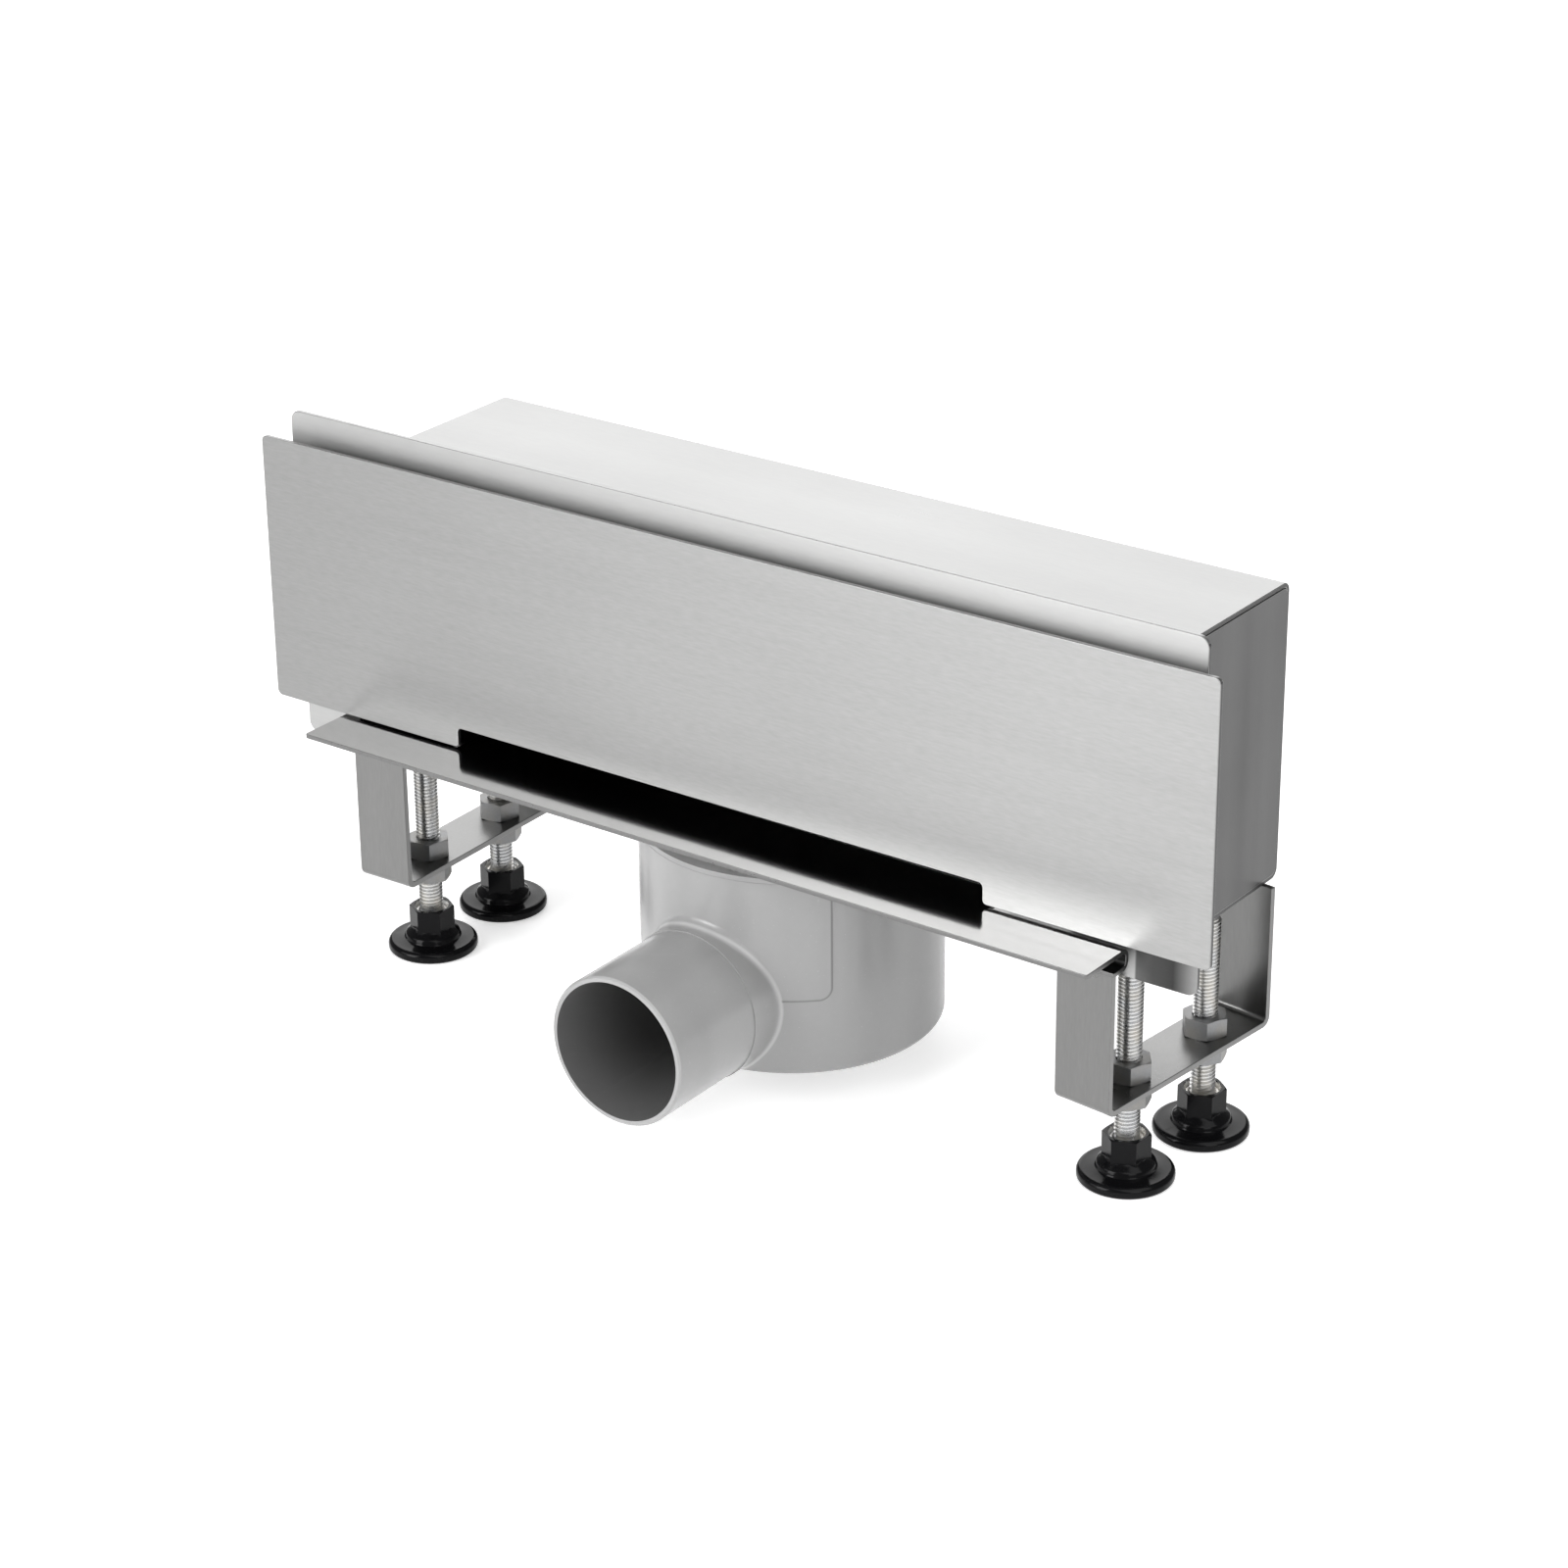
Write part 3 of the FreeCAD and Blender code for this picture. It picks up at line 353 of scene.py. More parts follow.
def sill_slot(normal, fall):
    """Slot of the sill's face: the third is for those that look into its hem, which take painted
    shade, and the second for its front edge and ends, which take a darker painted shade."""
    faces_hem = normal.y < -LEANING or normal.z > MOSTLY
    if faces_hem and HEM_TOP < fall < HEM_FOOT:
        return THIRD
    return SECOND if normal.y < -MOSTLY or abs(normal.x) > MOSTLY else FIRST


def sheet_piece(node, name, slot, rounding, face, edge, third=None, choose=sheared_end_slot):
    """A sheet with deburred edges. A third finish goes to the faces that are chosen for it by
    their normal and their fall below the sheet's top."""
    piece = merged_copy(node, name)
    dress(piece, node, slot, face, edge)
    if third:
        piece.data.materials.append(third)
        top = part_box(node)[1].z
        for polygon in piece.data.polygons:
            polygon.material_index = choose(polygon.normal, top - polygon.center.z)
    round_edges(piece, rounding, edge_slot=SECOND)


class Value:
    """A number socket. Python's arithmetic on it adds Math nodes."""

    def __init__(self, shader, socket):
        self.shader = shader
        self.socket = socket

    def _maths(self, operation, first, second):
        node = self.shader.node("ShaderNodeMath", {"operation": operation},
                                {0: first, 1: second})
        return Value(self.shader, node.outputs[0])

    def __add__(self, other):
        return self._maths("ADD", self, other)

    def __radd__(self, other):
        return self._maths("ADD", other, self)

    def __sub__(self, other):
        return self._maths("SUBTRACT", self, other)

    def __rsub__(self, other):
        return self._maths("SUBTRACT", other, self)

    def __mul__(self, other):
        return self._maths("MULTIPLY", self, other)

    def __rmul__(self, other):
        return self._maths("MULTIPLY", other, self)

    def __abs__(self):
        return self._maths("ABSOLUTE", self, 0)

    def below(self, limit):
        """The value, or the limit where that is less."""
        return self._maths("MINIMUM", self, limit)

    def above(self, limit):
        """The value, or the limit where that is more."""
        return self._maths("MAXIMUM", self, limit)

    def clipped(self):
        """The value held between 0 and 1."""
        return self.above(0).below(1)

    def swing(self, size):
        """A noise's rise and fall about its middle, at that size."""
        return size * (self - NOISE_MIDDLE)

    def risen(self, rate):
        """0 where the value is under nothing, and from there up to 1 at that rate."""
        return (self * rate).clipped()

    def line(self, half_width, crest):
        """1 where the value is nothing, and 0 away from there on both sides. A crest over 1
        keeps the line full beside its middle."""
        return (crest - abs(self) * (1 / half_width)).clipped()

    def span(self, other):
        """Length of the hypotenuse over both values."""
        return self._maths("SQRT", self * self + other * other, 0)

    def turn(self, ahead):
        """Angle whose tangent is this value over the one ahead."""
        return self._maths("ARCTAN2", self, ahead)


class Shader:
    """A material with one Principled surface, and the nodes that feed it."""

    def __init__(self, name, **uniform):
        self.material = bpy.data.materials.new(name)
        self.material.use_nodes = True
        self.tree = self.material.node_tree
        self.surface = self.tree.nodes["Principled BSDF"]
        for key, value in uniform.items():
            self.surface_socket(key).default_value = value
        self.place = self.node("ShaderNodeTexCoord").outputs["Object"]

    def surface_socket(self, key):
        """The surface's socket, by its name in small letters with underscores."""
        return self.surface.inputs[key.replace("_", " ").title()]

    def node(self, kind, settings=None, sockets=None):
        """Adds a node, with its settings first and then its sockets' values or links."""
        node = self.tree.nodes.new(kind)
        for key, value in (settings or {}).items():
            if key == "stops":
                self._set_ramp(node.color_ramp, value)
            else:
                setattr(node, key, value)
        for key, value in (sockets or {}).items():
            self.feed(node.inputs[key], value)
        return node

    def _set_ramp(self, ramp, stops):
        """Sets a ramp's grey levels. The first two stops take the place of its own two."""
        for index, (position, level) in enumerate(stops):
            stop = ramp.elements[index] if index < 2 else ramp.elements.new(position)
            stop.position = position
            stop.color = (level, level, level, 1)

    def feed(self, socket, value):
        """Gives a socket its value or its link."""
        if isinstance(value, Value):
            value = value.socket
        if isinstance(value, bpy.types.NodeSocket):
            self.tree.links.new(value, socket)
        else:
            socket.default_value = value

    def axes(self):
        """The three object coordinates."""
        node = self.node("ShaderNodeSeparateXYZ", None, {0: self.place})
        return [Value(self, socket) for socket in node.outputs]

    def stretched(self, scale, shift):
        """Object coordinates, scaled and shifted along each axis."""
        mapping = self.node("ShaderNodeMapping", {"vector_type": "POINT"},
                            {"Vector": self.place, "Scale": scale, "Location": shift})
        return mapping.outputs[0]

    def noise(self, waves, detail=3.0, roughness=0.5, shift=(0, 0, 0), distortion=0.0):
        """Noise with some waves a metre: one number, or one for each axis."""
        scale = waves if isinstance(waves, (list, tuple)) else (waves, waves, waves)
        node = self.node("ShaderNodeTexNoise", {"noise_dimensions": "3D"}, {
            "Vector": self.stretched(scale, shift), "Scale": 1.0, "Detail": detail,
            "Roughness": roughness, "Distortion": distortion})
        return Value(self, node.outputs["Fac"])

    def ramp(self, value, stops):
        """The grey levels of the stops, read at a value."""
        node = self.node("ShaderNodeValToRGB", {"stops": stops}, {0: value})
        return Value(self, node.outputs["Color"])

    def shade(self, colour, level):
        """The colour times a level."""
        node = self.node("ShaderNodeMix", {"data_type": "RGBA", "blend_type": "MULTIPLY"}, {
            MIX_FACTOR: 1.0, MIX_FIRST: self._colour(colour), MIX_SECOND: self.grey(level)})
        return node.outputs[MIX_RESULT]

    def grey(self, level):
        """A grey of that level."""
        node = self.node("ShaderNodeCombineColor", None, {0: level, 1: level, 2: level})
        return node.outputs[0]

    def mix(self, factor, first, second):
        """The first colour where the factor is 0, and the second where it is 1."""
        node = self.node("ShaderNodeMix", {"data_type": "RGBA"}, {
            MIX_FACTOR: factor, MIX_FIRST: self._colour(first),
            MIX_SECOND: self._colour(second)})
        return node.outputs[MIX_RESULT]

    def _colour(self, value):
        """What a colour's socket takes: a link as it is, or red, green and blue as opaque."""
        return value if isinstance(value, bpy.types.NodeSocket) else (*value, 1.0)

    def bump(self, height, distance, strength):
        """A normal from a relief of that depth in metres."""
        node = self.node("ShaderNodeBump", None, {
            "Height": height, "Distance": distance, "Strength": strength})
        return node.outputs[0]

    def finish(self, **sockets):
        """Feeds the surface's sockets and gives the material."""
        for key, value in sockets.items():
            self.feed(self.surface_socket(key), value)
        return self.material


def grain_waves(axis, along, across):
    """Waves a metre of a grain that runs along one axis."""
    waves = [across, across, across]
    waves["XYZ".index(axis)] = along
    return waves


def brushed_steel(name, colour, axis, roughness, grain=1.0, cloud=1.0, smear=0.0, turn=0.0,
                  marks=None):
    """Steel with grain along an axis: long streaks, short hairlines, faint clouds.
    The smear spreads its reflections across the grain."""
    shader = Shader(name, metallic=1.0, anisotropic=smear, anisotropic_rotation=turn)
    hairs = shader.noise(grain_waves(axis, along=220, across=1500), detail=3)
    streaks = shader.noise(grain_waves(axis, along=12, across=420), detail=4, roughness=0.6)
    bands = shader.noise(grain_waves(axis, along=1.5, across=60), detail=2, shift=(3, 1, 2))
    clouds = shader.noise(14, detail=4, shift=(5, 2, 7))
    level = 1 + grain * (hairs.swing(0.1) + streaks.swing(0.06))
    level = level + cloud * (bands.swing(0.08) + clouds.swing(0.06))
    # marks, where given, lay painted shade over the steel
    if marks:
        level = level * marks(shader)
    relief = hairs * 0.5 + streaks * 0.5
    return shader.finish(
        base_color=shader.shade(colour, level),
        roughness=roughness + streaks.swing(0.06 * grain) + clouds.swing(0.08 * cloud),
        normal=shader.bump(relief, distance=0.000006 * grain, strength=0.5))


def paint_ear_shade(shader):
    """Painted shade: darkened steel on the flange's lower right ear, beside the box's end,
    standing in for dark reflections of the sill, rods and brackets.
    """
    across, _, height = shader.axes()
    ear_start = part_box("right_end_sheet")[1].x
    ear_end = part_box("flange_frame")[1].x
    cover_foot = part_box("cover_plate")[0].z
    # tint: the brightness that the painted shade leaves along the ear
    tint = shader.ramp((across - ear_start) * (1 / (ear_end - ear_start)), EAR_SHADE_STOPS)
    under = (cover_foot + EAR_SHADE_OVERLAP - height).risen(EAR_SHADE_RISE)
    beside = (across - ear_start).risen(EAR_SHADE_RISE)
    return 1 - under * beside * (1 - tint)


def bare_edge(name, colour):
    """Deburred edge of a sheet: brighter and smoother than its face when given the face's
    colour; the sill's edge is given a darker colour as painted shade.
    """
    shader = Shader(name, metallic=1.0)
    marks = shader.noise(900, detail=2)
    return shader.finish(
        base_color=shader.shade(colour, 0.95 + marks.swing(0.2)),
        roughness=0.3 + marks.swing(0.15))


def shaded_cut_steel(name, colour):
    """Sheared face of a sheet: dull, with marks across its thickness, in a dark colour that is
    painted shade.
    """
    shader = Shader(name, metallic=1.0)
    marks = shader.noise((200, 1600, 1600), detail=3)
    return shader.finish(
        base_color=shader.shade(colour, 1 + marks.swing(0.7)),
        roughness=0.45 + marks.swing(0.2),
        normal=shader.bump(marks, distance=0.00005, strength=0.6))


def zinc_plating(name, colour, roughness):
    """Zinc plating: a small spangle, a faint tint and handling marks."""
    shader = Shader(name, metallic=1.0)
    spangle = shader.noise(1500, detail=2)
    blotches = shader.noise(160, detail=3, shift=(4, 4, 4))
    warm = [part * share for part, share in zip(colour, WARMTH)]
    tint = shader.mix(shader.ramp(blotches, [(0.4, 0), (0.65, 1)]), colour, warm)
    return shader.finish(
        base_color=shader.shade(tint, 1 + spangle.swing(0.2) + blotches.swing(0.14)),
        roughness=roughness + blotches.swing(0.16),
        normal=shader.bump(spangle, distance=0.00002, strength=0.4))


def moulded_plastic(name, colour, roughness, gloss=0.5, reflection_band=0.0, marks=None):
    """Moulded plastic: faint flow clouds, a fine skin, a few dust specks, and upright bands
    of painted reflection."""
    shader = Shader(name)
    shader.surface.inputs["Specular IOR Level"].default_value = gloss
    flow = shader.noise((22, 22, 9), detail=4, distortion=0.6)
    skin = shader.noise(2600, detail=2)
    peel = shader.noise(420, detail=2, shift=(2, 8, 1))
    dust = shader.noise(1900, detail=1, shift=(9, 3, 5))
    specks = shader.ramp(dust, [(0.74, 0), (0.78, 1)])
    # upright bands of painted reflection, at the strength that the caller gives
    bands = shader.noise((38, 38, 2), detail=1, shift=(6, 2, 3))
    level = 1 + flow.swing(0.1) + peel.swing(0.04) + 0.25 * specks + bands.swing(reflection_band)
    # marks, where given, lay painted shade and a painted highlight over the plastic
    if marks:
        level = level * marks(shader)
    relief = 0.4 * skin + 0.6 * peel
    return shader.finish(
        base_color=shader.shade(colour, level),
        roughness=roughness + flow.swing(0.12) + peel.swing(0.06),
        normal=shader.bump(relief, distance=0.00002, strength=0.5))


def paint_trap_shade_and_highlight(sizes):
    """Painted shade in a fine line round the saddle's edge, and a painted highlight ring
    where the spigot's blend begins."""
    def marks(shader):
        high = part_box("trap_body")[1]
        across, depth, height = shader.axes()
        radius, corner = high.x, sizes.saddle_corner
        ahead = high.y - radius - depth
        side = abs(across.turn(ahead)) * radius - (sizes.saddle_turn * radius - corner)
        fall = sizes.saddle_foot + corner - height
        outward = side.above(0).span(fall.above(0)) + side.above(fall).below(0) - corner
        # painted shade in a fine line along the saddle's edge
        saddle_line = outward.line(sizes.painted_line_width, crest=1.3)
        on_wall = (radius + sizes.painted_line_width - across.span(ahead)).risen(PAINTED_MARK_RISE)
        # painted highlight ring where the spigot's blend begins
        reach = across.span(height - sizes.spigot_height)
        ring = (reach - sizes.highlight_ring_radius).line(sizes.painted_line_width, crest=1.2)
        in_front = ahead.risen(PAINTED_MARK_RISE)
        return (1 - SADDLE_LINE_SHADE * saddle_line * on_wall) * (1 + RING_HIGHLIGHT * (ring * in_front))
    return marks


def rubber(name, colour):
    """Dull rubber with a faint bloom."""
    shader = Shader(name)
    bloom = shader.noise(300, detail=4)
    return shader.finish(
        base_color=shader.shade(colour, 0.7 + 0.8 * bloom),
        roughness=0.6 + bloom.swing(0.2),
        normal=shader.bump(bloom, distance=0.00003, strength=0.5))


class SHOWERDRAIN_OT_cover(bpy.types.Operator):
    """Brushed front cover with deburred edges"""
    bl_idname = "showerdrain.cover"
    bl_label = "Dress Cover"
    bl_options = {"REGISTER", "UNDO"}

    def execute(self, context):
        sizes, colours = context.scene.drain_sizes, context.scene.drain_colours
        face = brushed_steel("cover_steel", colours.cover, "X", roughness=0.4, grain=2.2,
                             smear=0.75, turn=0.25)
        edge = bare_edge("cover_edge_steel", colours.cover)
        # the sheared ends take the dark steel as painted shade
        cut = shaded_cut_steel("cover_cut_shade_steel", colours.cut_face_shade)
        sheet_piece("cover_plate", "cover_sheet", "cover", sizes.sheet_round, face, edge, cut)
        return {"FINISHED"}


class SHOWERDRAIN_OT_box(bpy.types.Operator):
    """Flange, folded box and end sheets"""
    bl_idname = "showerdrain.box"
    bl_label = "Dress Box"
    bl_options = {"REGISTER", "UNDO"}

    def execute(self, context):
        sizes, colours = context.scene.drain_sizes, context.scene.drain_colours
        rounding = sizes.sheet_round
        edge = bare_edge("box_edge_steel", colours.housing)
        # the sheared ends take the dark steel as painted shade
        cut = shaded_cut_steel("box_cut_shade_steel", colours.cut_face_shade)
        # the flange's steel carries painted shade on its lower right ear
        flange = brushed_steel("flange_steel", colours.flange, "X", roughness=0.44,
                               smear=0.6, turn=0.25, marks=paint_ear_shade)
        sheet_piece("flange_frame", "flange_sheet", "flange", rounding, flange, edge, cut)
        wrap = brushed_steel("housing_steel", colours.housing, "X", roughness=0.32, cloud=1.4)
        sheet_piece("housing_wrap", "housing_sheet", "housing", rounding, wrap, edge, cut)
        # the end sheets take the darker steel as painted shade
        end = brushed_steel("end_shaded_steel", colours.end_sheet, "Z", roughness=0.35, cloud=6,
                            smear=0.6)
        for side in SIDES:
            sheet_piece(side + "_end_sheet", side + "_end_cap", "end_sheet", rounding, end, edge)
        return {"FINISHED"}


class SHOWERDRAIN_OT_sill(bpy.types.Operator):
    """Polished folded sill"""
    bl_idname = "showerdrain.sill"
    bl_label = "Dress Sill"
    bl_options = {"REGISTER", "UNDO"}

    def execute(self, context):
        sizes, colours = context.scene.drain_sizes, context.scene.drain_colours
        face = brushed_steel("sill_steel", colours.sill, "X", roughness=0.12, grain=0.4)
        # the sill's front edge and ends take a darker steel as painted shade
        edge = bare_edge("sill_edge_shade_steel", colours.sill_edge_shade)
        # the faces inside the hem take near-black steel as painted shade
        inside = shaded_cut_steel("hem_shade_steel", colours.hem_shade)
        sheet_piece("inlet_sill", "sill_sheet", "sill", sizes.sheet_round, face, edge,
                    inside, sill_slot)
        return {"FINISHED"}


class SHOWERDRAIN_OT_brackets(bpy.types.Operator):
    """Strip brackets"""
    bl_idname = "showerdrain.brackets"
    bl_label = "Dress Brackets"
    bl_options = {"REGISTER", "UNDO"}

    def execute(self, context):
        sizes, colours = context.scene.drain_sizes, context.scene.drain_colours
        face = brushed_steel("bracket_steel", colours.bracket, "Z", roughness=0.3, grain=1.8)
        edge = bare_edge("bracket_edge_steel", colours.bracket)
        for side in SIDES:
            sheet_piece(side + "_bracket", side + "_bracket_strip", "bracket",
                        sizes.sheet_round, face, edge)
        return {"FINISHED"}


class SHOWERDRAIN_OT_rods(bpy.types.Operator):
    """Threaded levelling rods, with a cut helix"""
    bl_idname = "showerdrain.rods"
    bl_label = "Thread Rods"
    bl_options = {"REGISTER", "UNDO"}

    def execute(self, context):
        sizes, colours = context.scene.drain_sizes, context.scene.drain_colours
        # the four rods are alike, so one is cut and copied
        low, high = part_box(CORNERS[0] + "_rod")
        pattern = threaded_rod("rod_pattern", (high.x - low.x) / 2, high.z - low.z, sizes)
        zinc = zinc_plating("rod_zinc", colours.zinc, roughness=0.28)
        for corner in CORNERS:
            node = corner + "_rod"
            piece = named_copy(pattern, node + "_threaded")
            low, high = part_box(node)
            middle = (low + high) / 2
            piece.data.transform(Matrix.Translation((middle.x, middle.y, low.z)))
            dress(piece, node, "zinc_rod", zinc)
        bpy.data.objects.remove(pattern)
        return {"FINISHED"}


def threaded_rod(name, radius, length, sizes):
    """A rod of that length with a cut thread, standing on the origin."""
    pitch = sizes.thread_pitch
    root, crest = pitch / 4, pitch / 8
    flank = (pitch - root - crest) / 2
    core = radius - sizes.thread_depth
    # one turn of the thread's outline, from root to root
    outline = [(core, 0), (core, root), (radius, root + flank),
               (radius, root + flank + crest), (core, pitch)]
    # turns to spare below the rod and above it, which are cut off again
    spare = 2
    mesh = bpy.data.meshes.new(name)
    mesh.from_pydata([(reach, 0, rise - spare * pitch) for reach, rise in outline],
                     [(step, step + 1) for step in range(len(outline) - 1)], [])
    piece = bpy.data.objects.new(name, mesh)
    bpy.context.scene.collection.objects.link(piece)
    screw = piece.modifiers.new("thread", "SCREW")
    screw.axis = "Z"
    screw.screw_offset = pitch
    screw.iterations = int(length / pitch) + 2 * spare
    screw.steps = sizes.thread_steps
    screw.render_steps = sizes.thread_steps
    screw.use_merge_vertices = True
    screw.merge_threshold = TINY
    apply_modifiers(piece)
    bpy.ops.object.mode_set(mode="EDIT")
    bpy.ops.mesh.select_all(action="SELECT")
    bpy.ops.mesh.remove_doubles(threshold=TINY)
    for height, below in ((0, True), (length, False)):
        bpy.ops.mesh.select_all(action="SELECT")
        bpy.ops.mesh.bisect(plane_co=(0, 0, height), plane_no=(0, 0, 1), use_fill=True,
                            clear_inner=below, clear_outer=not below, threshold=TINY)
    bpy.ops.mesh.select_all(action="SELECT")
    bpy.ops.mesh.normals_make_consistent(inside=False)
    bpy.ops.object.mode_set(mode="OBJECT")
    chamfer_ends(piece, radius, length, sizes.rod_chamfer)
    bpy.ops.object.shade_smooth_by_angle(angle=SMOOTH_THREAD)
    return piece


def chamfer_ends(piece, radius, length, chamfer):
    """Draws the rod's outer points near each end inside a cone."""
    for vertex in piece.data.vertices:
        reach = math.hypot(vertex.co.x, vertex.co.y)
        inward = min(vertex.co.z, length - vertex.co.z)
        limit = radius - max(0, chamfer - inward)
        if reach > limit:
            vertex.co.x *= limit / reach
            vertex.co.y *= limit / reach


class SHOWERDRAIN_OT_nuts(bpy.types.Operator):
    """Plated nuts, and the metal bushes in the feet"""
    bl_idname = "showerdrain.nuts"
    bl_label = "Dress Nuts"
    bl_options = {"REGISTER", "UNDO"}

    def execute(self, context):
        sizes, colours = context.scene.drain_sizes, context.scene.drain_colours
        dark = zinc_plating("nut_zinc", colours.nut, roughness=0.48)
        bright = zinc_plating("bush_zinc", colours.mouth, roughness=0.5)
        kinds = (("upper_nut", "zinc_nut", dark), ("lower_nut", "zinc_nut", dark),
                 ("bush", "bush", bright))
        for corner in CORNERS:
            for kind, slot, zinc in kinds:
                node = corner + "_" + kind
                piece = merged_copy(node, node + "_plated")
                dress(piece, node, slot, zinc)
                round_edges(piece, sizes.sheet_round / 2, angle=25)
        return {"FINISHED"}


class SHOWERDRAIN_OT_feet(bpy.types.Operator):
    """Glossy black feet, with bright mouths in their collars"""
    bl_idname = "showerdrain.feet"
    bl_label = "Dress Feet"
    bl_options = {"REGISTER", "UNDO"}

    def execute(self, context):
        sizes, colours = context.scene.drain_sizes, context.scene.drain_colours
        black = moulded_plastic("foot_plastic", colours.foot, roughness=0.14, gloss=0.1)
        bright = zinc_plating("mouth_zinc", colours.mouth, roughness=0.5)
        for corner in CORNERS:
            node = corner + "_foot"
            piece = merged_copy(node, node + "_moulded")
            dress(piece, node, "foot", black, bright)
            line_mouth(piece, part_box(node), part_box(corner + "_bush"))
            round_edges(piece, sizes.plastic_round, angle=35)
        return {"FINISHED"}


def line_mouth(piece, foot_box, bush_box):
    """The recess in the collar is lined by the flared mouth of the metal bush."""
    low, high = foot_box
    bush_low, bush_high = bush_box
    middle = (low + high) / 2
    reach = (bush_high.x - bush_low.x) / 2 + MOUTH_FLARE
    for polygon in piece.data.polygons:
        spoke = math.hypot(polygon.center.x - middle.x, polygon.center.y - middle.y)
        if spoke < reach and bush_high.z - TINY < polygon.center.z < high.z - NEAR:
            polygon.material_index = SECOND


class SHOWERDRAIN_OT_trap(bpy.types.Operator):
    """Grey moulded trap body and lid"""
    bl_idname = "showerdrain.trap"
    bl_label = "Dress Trap"
    bl_options = {"REGISTER", "UNDO"}

    def execute(self, context):
        sizes, colours = context.scene.drain_sizes, context.scene.drain_colours
        # the trap's grey carries painted shade round the saddle's edge, a painted highlight ring
        # at the spigot's root, and upright bands of painted reflection
        grey = moulded_plastic("trap_plastic", colours.trap, roughness=0.24, reflection_band=0.45,
                               marks=paint_trap_shade_and_highlight(sizes))
        # the spigot's bore takes a dark plastic as painted shade
        dark = moulded_plastic("bore_shade_plastic", colours.bore, roughness=0.4)
        for node in ("trap_body", "trap_lid"):
            piece = merged_copy(node, node + "_moulded")
            dress(piece, node, "trap", grey, dark)
            if node == "trap_body":
                paint_bore_shade(piece)
            round_edges(piece, sizes.plastic_round / 2, angle=35)
        return {"FINISHED"}


def paint_bore_shade(piece):
    """The spigot's inner wall, whose faces look at the spigot's axis, is darker: painted shade.
    """
    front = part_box("trap_body")[0].y
    rim = [vertex.co for vertex in piece.data.vertices if vertex.co.y < front + NEAR]
    axis_height = (min(point.z for point in rim) + max(point.z for point in rim)) / 2
    axis_side = (min(point.x for point in rim) + max(point.x for point in rim)) / 2
    for polygon in piece.data.polygons:
        middle = polygon.center
        spoke = Vector((middle.x - axis_side, 0, middle.z - axis_height))
        in_bore = middle.y < BORE_BACK and spoke.length < BORE_REACH
        if in_bore and abs(polygon.normal.y) < MOSTLY:
            polygon.material_index = SECOND


class SHOWERDRAIN_OT_inner(bpy.types.Operator):
    """Neck, strainer, insert, seals and magnets"""
    bl_idname = "showerdrain.inner"
    bl_label = "Dress Inner Pieces"
    bl_options = {"REGISTER", "UNDO"}

    def execute(self, context):
        colours = context.scene.drain_colours
        steel = brushed_steel("inner_steel", colours.housing, "X", roughness=0.3)
        pale = moulded_plastic("insert_plastic", colours.insert, roughness=0.4)
        black = rubber("seal_rubber", colours.seal)
        nickel = zinc_plating("magnet_nickel", colours.zinc, roughness=0.15)
        finishes = {"outlet_neck": steel, "strainer": steel, "dip_tube": pale,
                    "seal_cup": pale, "neck_seal": black, "insert_gasket": black}
        for side in SIDES:
            for level in LEVELS:
                finishes["%s_%s_magnet" % (level, side)] = nickel
        for node, finish in finishes.items():
            mesh = frame["nodes"][node].data
            mesh.materials.clear()
            mesh.materials.append(finish)
        return {"FINISHED"}


class SHOWERDRAIN_OT_stage(bpy.types.Operator):
    """Pale floor, white surroundings, soft lights and the camera"""
    bl_idname = "showerdrain.stage"
    bl_label = "Set Stage"
    bl_options = {"REGISTER", "UNDO"}

    def execute(self, context):
        stage = context.scene.drain_stage
        clear_selection()
        bpy.ops.mesh.primitive_plane_add(size=FLOOR_WIDTH, location=(0, 0, 0))
        floor = context.view_layer.objects.active
        floor.name = "floor"
        paint = Shader("floor_paint", emission_color=(1, 1, 1, 1),
                       emission_strength=stage.floor_glow)
        cloud = paint.noise(0.7)
        floor.data.materials.append(paint.finish(
            base_color=paint.shade(stage.floor_colour, 0.99 + cloud.swing(0.02)),
            roughness=0.7 + cloud.swing(0.1)))
        world = bpy.data.worlds.new("white_surroundings")
        context.scene.world = world
        world.use_nodes = True
        backdrop = world.node_tree.nodes["Background"]
        backdrop.inputs["Color"].default_value = (1, 1, 1, 1)
        backdrop.inputs["Strength"].default_value = stage.sky_strength
        for name, (place, size, power) in SOFTBOXES.items():
            add_softbox(name, place, size, power)
        add_camera(stage)
        context.scene.view_settings.view_transform = "Standard"
        return {"FINISHED"}


def add_softbox(name, place, size, power):
    """A soft light of some width and height that looks at the drain."""
    bpy.ops.object.light_add(type="AREA", location=place)
    lamp = bpy.context.view_layer.objects.active
    lamp.name = name
    lamp.data.shape = "RECTANGLE"
    lamp.data.size, lamp.data.size_y = size
    lamp.data.energy = power
    aim = DRAIN_MIDDLE - Vector(place)
    lamp.rotation_euler = aim.to_track_quat("-Z", "Y").to_euler()


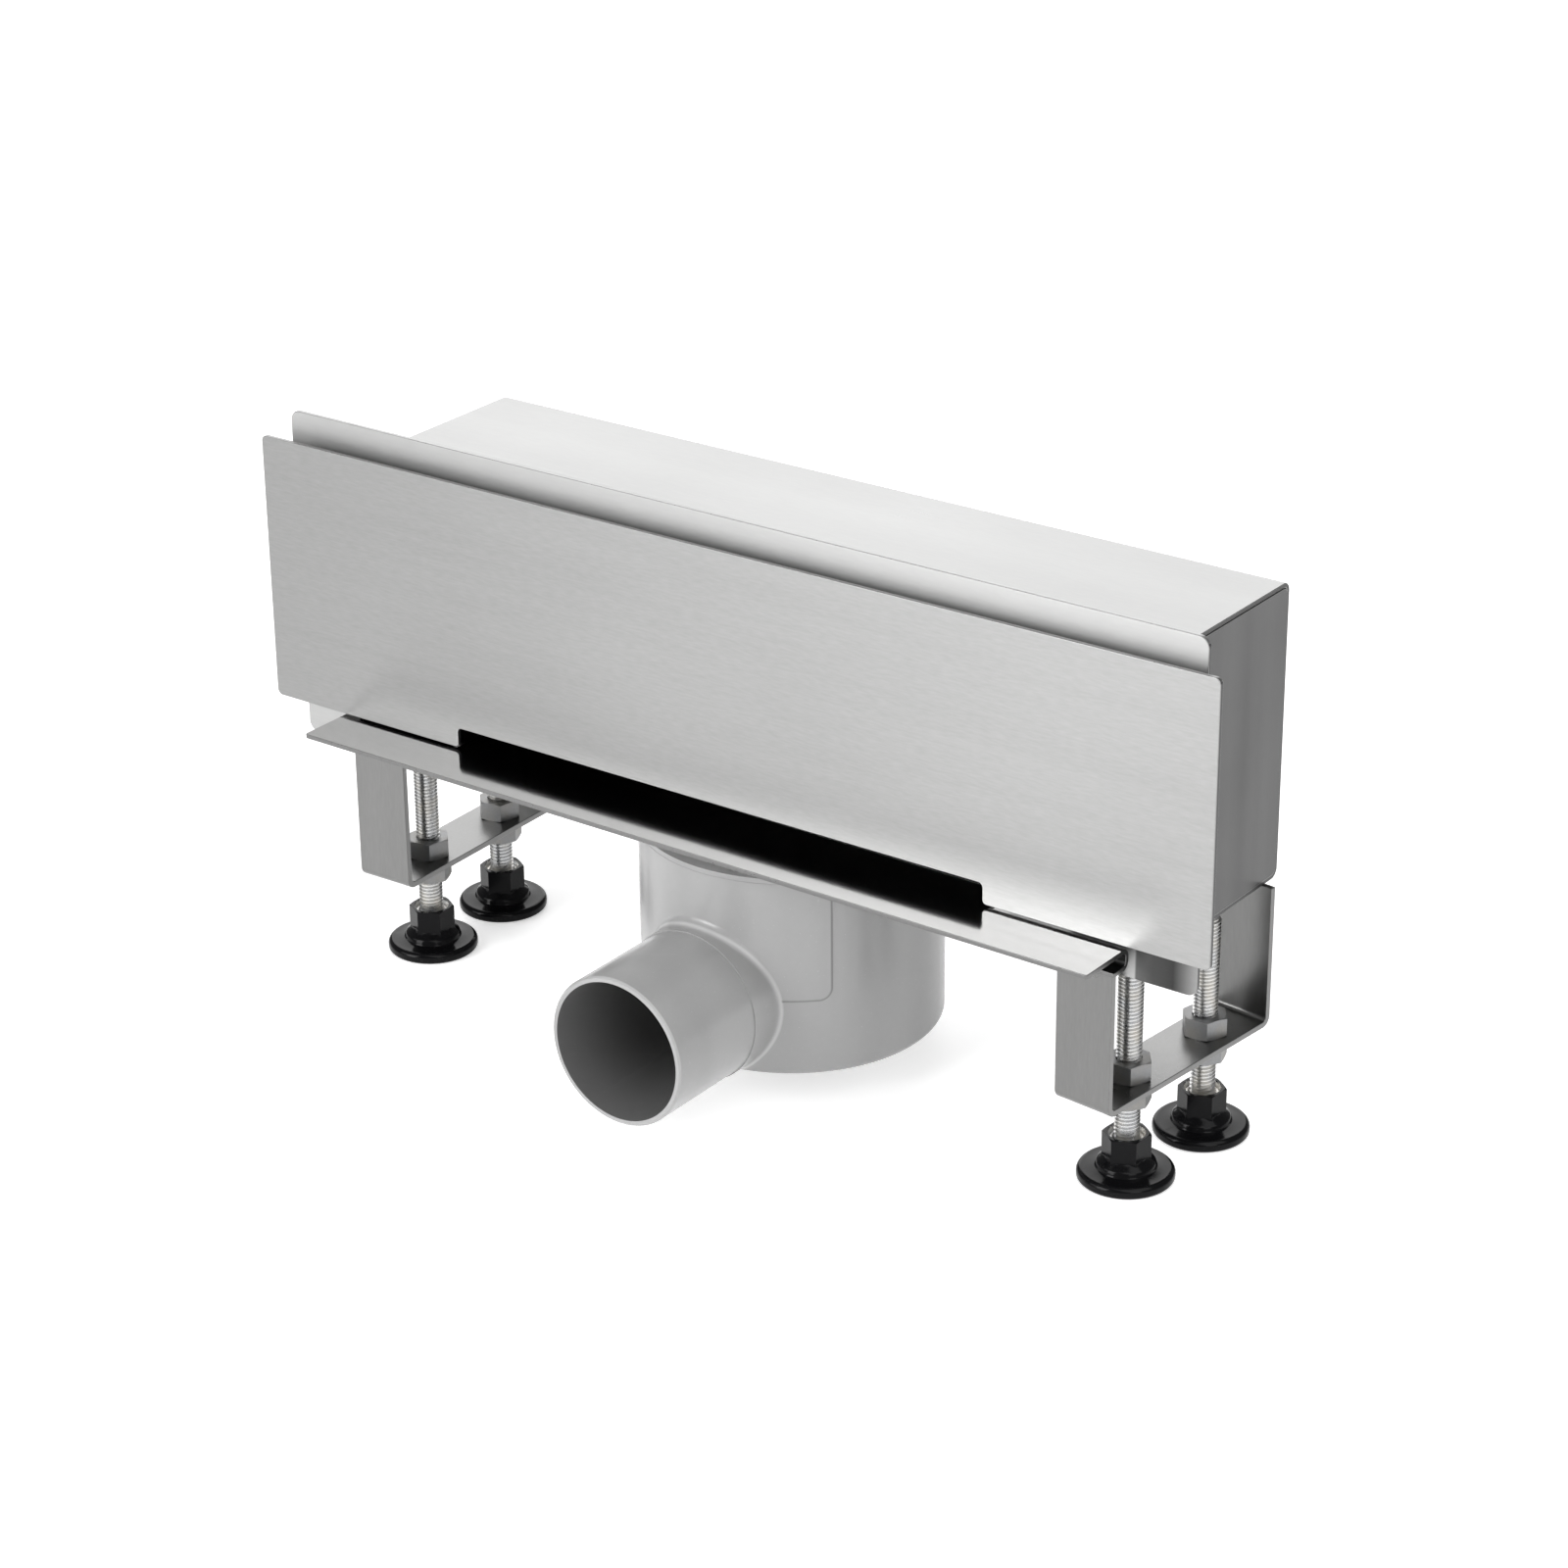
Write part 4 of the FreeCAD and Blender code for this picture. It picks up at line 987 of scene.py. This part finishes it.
def add_camera(stage):
    """The camera at the photograph's place, looking down and to the left."""
    turn, fall = stage.camera_azimuth, stage.camera_elevation
    ahead = Vector((-math.sin(turn) * math.cos(fall), math.cos(turn) * math.cos(fall),
                    -math.sin(fall)))
    level = Vector((math.cos(turn), math.sin(turn), 0))
    above = level.cross(ahead)
    roll = stage.camera_roll
    right = math.cos(roll) * level + math.sin(roll) * above
    up = math.cos(roll) * above - math.sin(roll) * level
    bpy.ops.object.camera_add(location=stage.camera_place)
    camera = bpy.context.view_layer.objects.active
    camera.name = "camera"
    facing = Matrix((right, up, -ahead)).transposed().to_4x4()
    camera.matrix_world = Matrix.Translation(stage.camera_place) @ facing
    camera.data.lens = stage.camera_lens
    camera.data.sensor_width = 36
    camera.data.shift_x, camera.data.shift_y = stage.camera_shift
    camera.data.clip_start = 0.05
    camera.data.clip_end = 50
    bpy.context.scene.camera = camera


OPERATORS = (
    SHOWERDRAIN_OT_cover, SHOWERDRAIN_OT_box, SHOWERDRAIN_OT_sill,
    SHOWERDRAIN_OT_brackets, SHOWERDRAIN_OT_rods, SHOWERDRAIN_OT_nuts,
    SHOWERDRAIN_OT_feet, SHOWERDRAIN_OT_trap, SHOWERDRAIN_OT_inner,
    SHOWERDRAIN_OT_stage)


class SHOWERDRAIN_PT_panel(bpy.types.Panel):
    """Lists the drain's sizes, colours and operators"""
    bl_label = "Shower Drain"
    bl_idname = "SHOWERDRAIN_PT_panel"
    bl_space_type = "VIEW_3D"
    bl_region_type = "UI"
    bl_category = "Shower Drain"

    def draw(self, context):
        scene = context.scene
        for group in (scene.drain_sizes, scene.drain_colours, scene.drain_stage):
            column = self.layout.box().column()
            for key in group.__annotations__:
                column.prop(group, key)
        for operator in OPERATORS:
            self.layout.operator(operator.bl_idname)


CLASSES = (DrainSizes, DrainColours, DrainStage, *OPERATORS, SHOWERDRAIN_PT_panel)


def register():
    """Registers the classes and gives the scene its sizes, colours and stage."""
    for item in CLASSES:
        bpy.utils.register_class(item)
    bpy.types.Scene.drain_sizes = bpy.props.PointerProperty(type=DrainSizes)
    bpy.types.Scene.drain_colours = bpy.props.PointerProperty(type=DrainColours)
    bpy.types.Scene.drain_stage = bpy.props.PointerProperty(type=DrainStage)


def unregister():
    """Takes back what register did."""
    del bpy.types.Scene.drain_stage
    del bpy.types.Scene.drain_colours
    del bpy.types.Scene.drain_sizes
    for item in reversed(CLASSES):
        bpy.utils.unregister_class(item)


def main():
    """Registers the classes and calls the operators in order."""
    register()
    for operator in OPERATORS:
        family, name = operator.bl_idname.split(".")
        getattr(getattr(bpy.ops, family), name)()


if __name__ == "__main__":
    main()
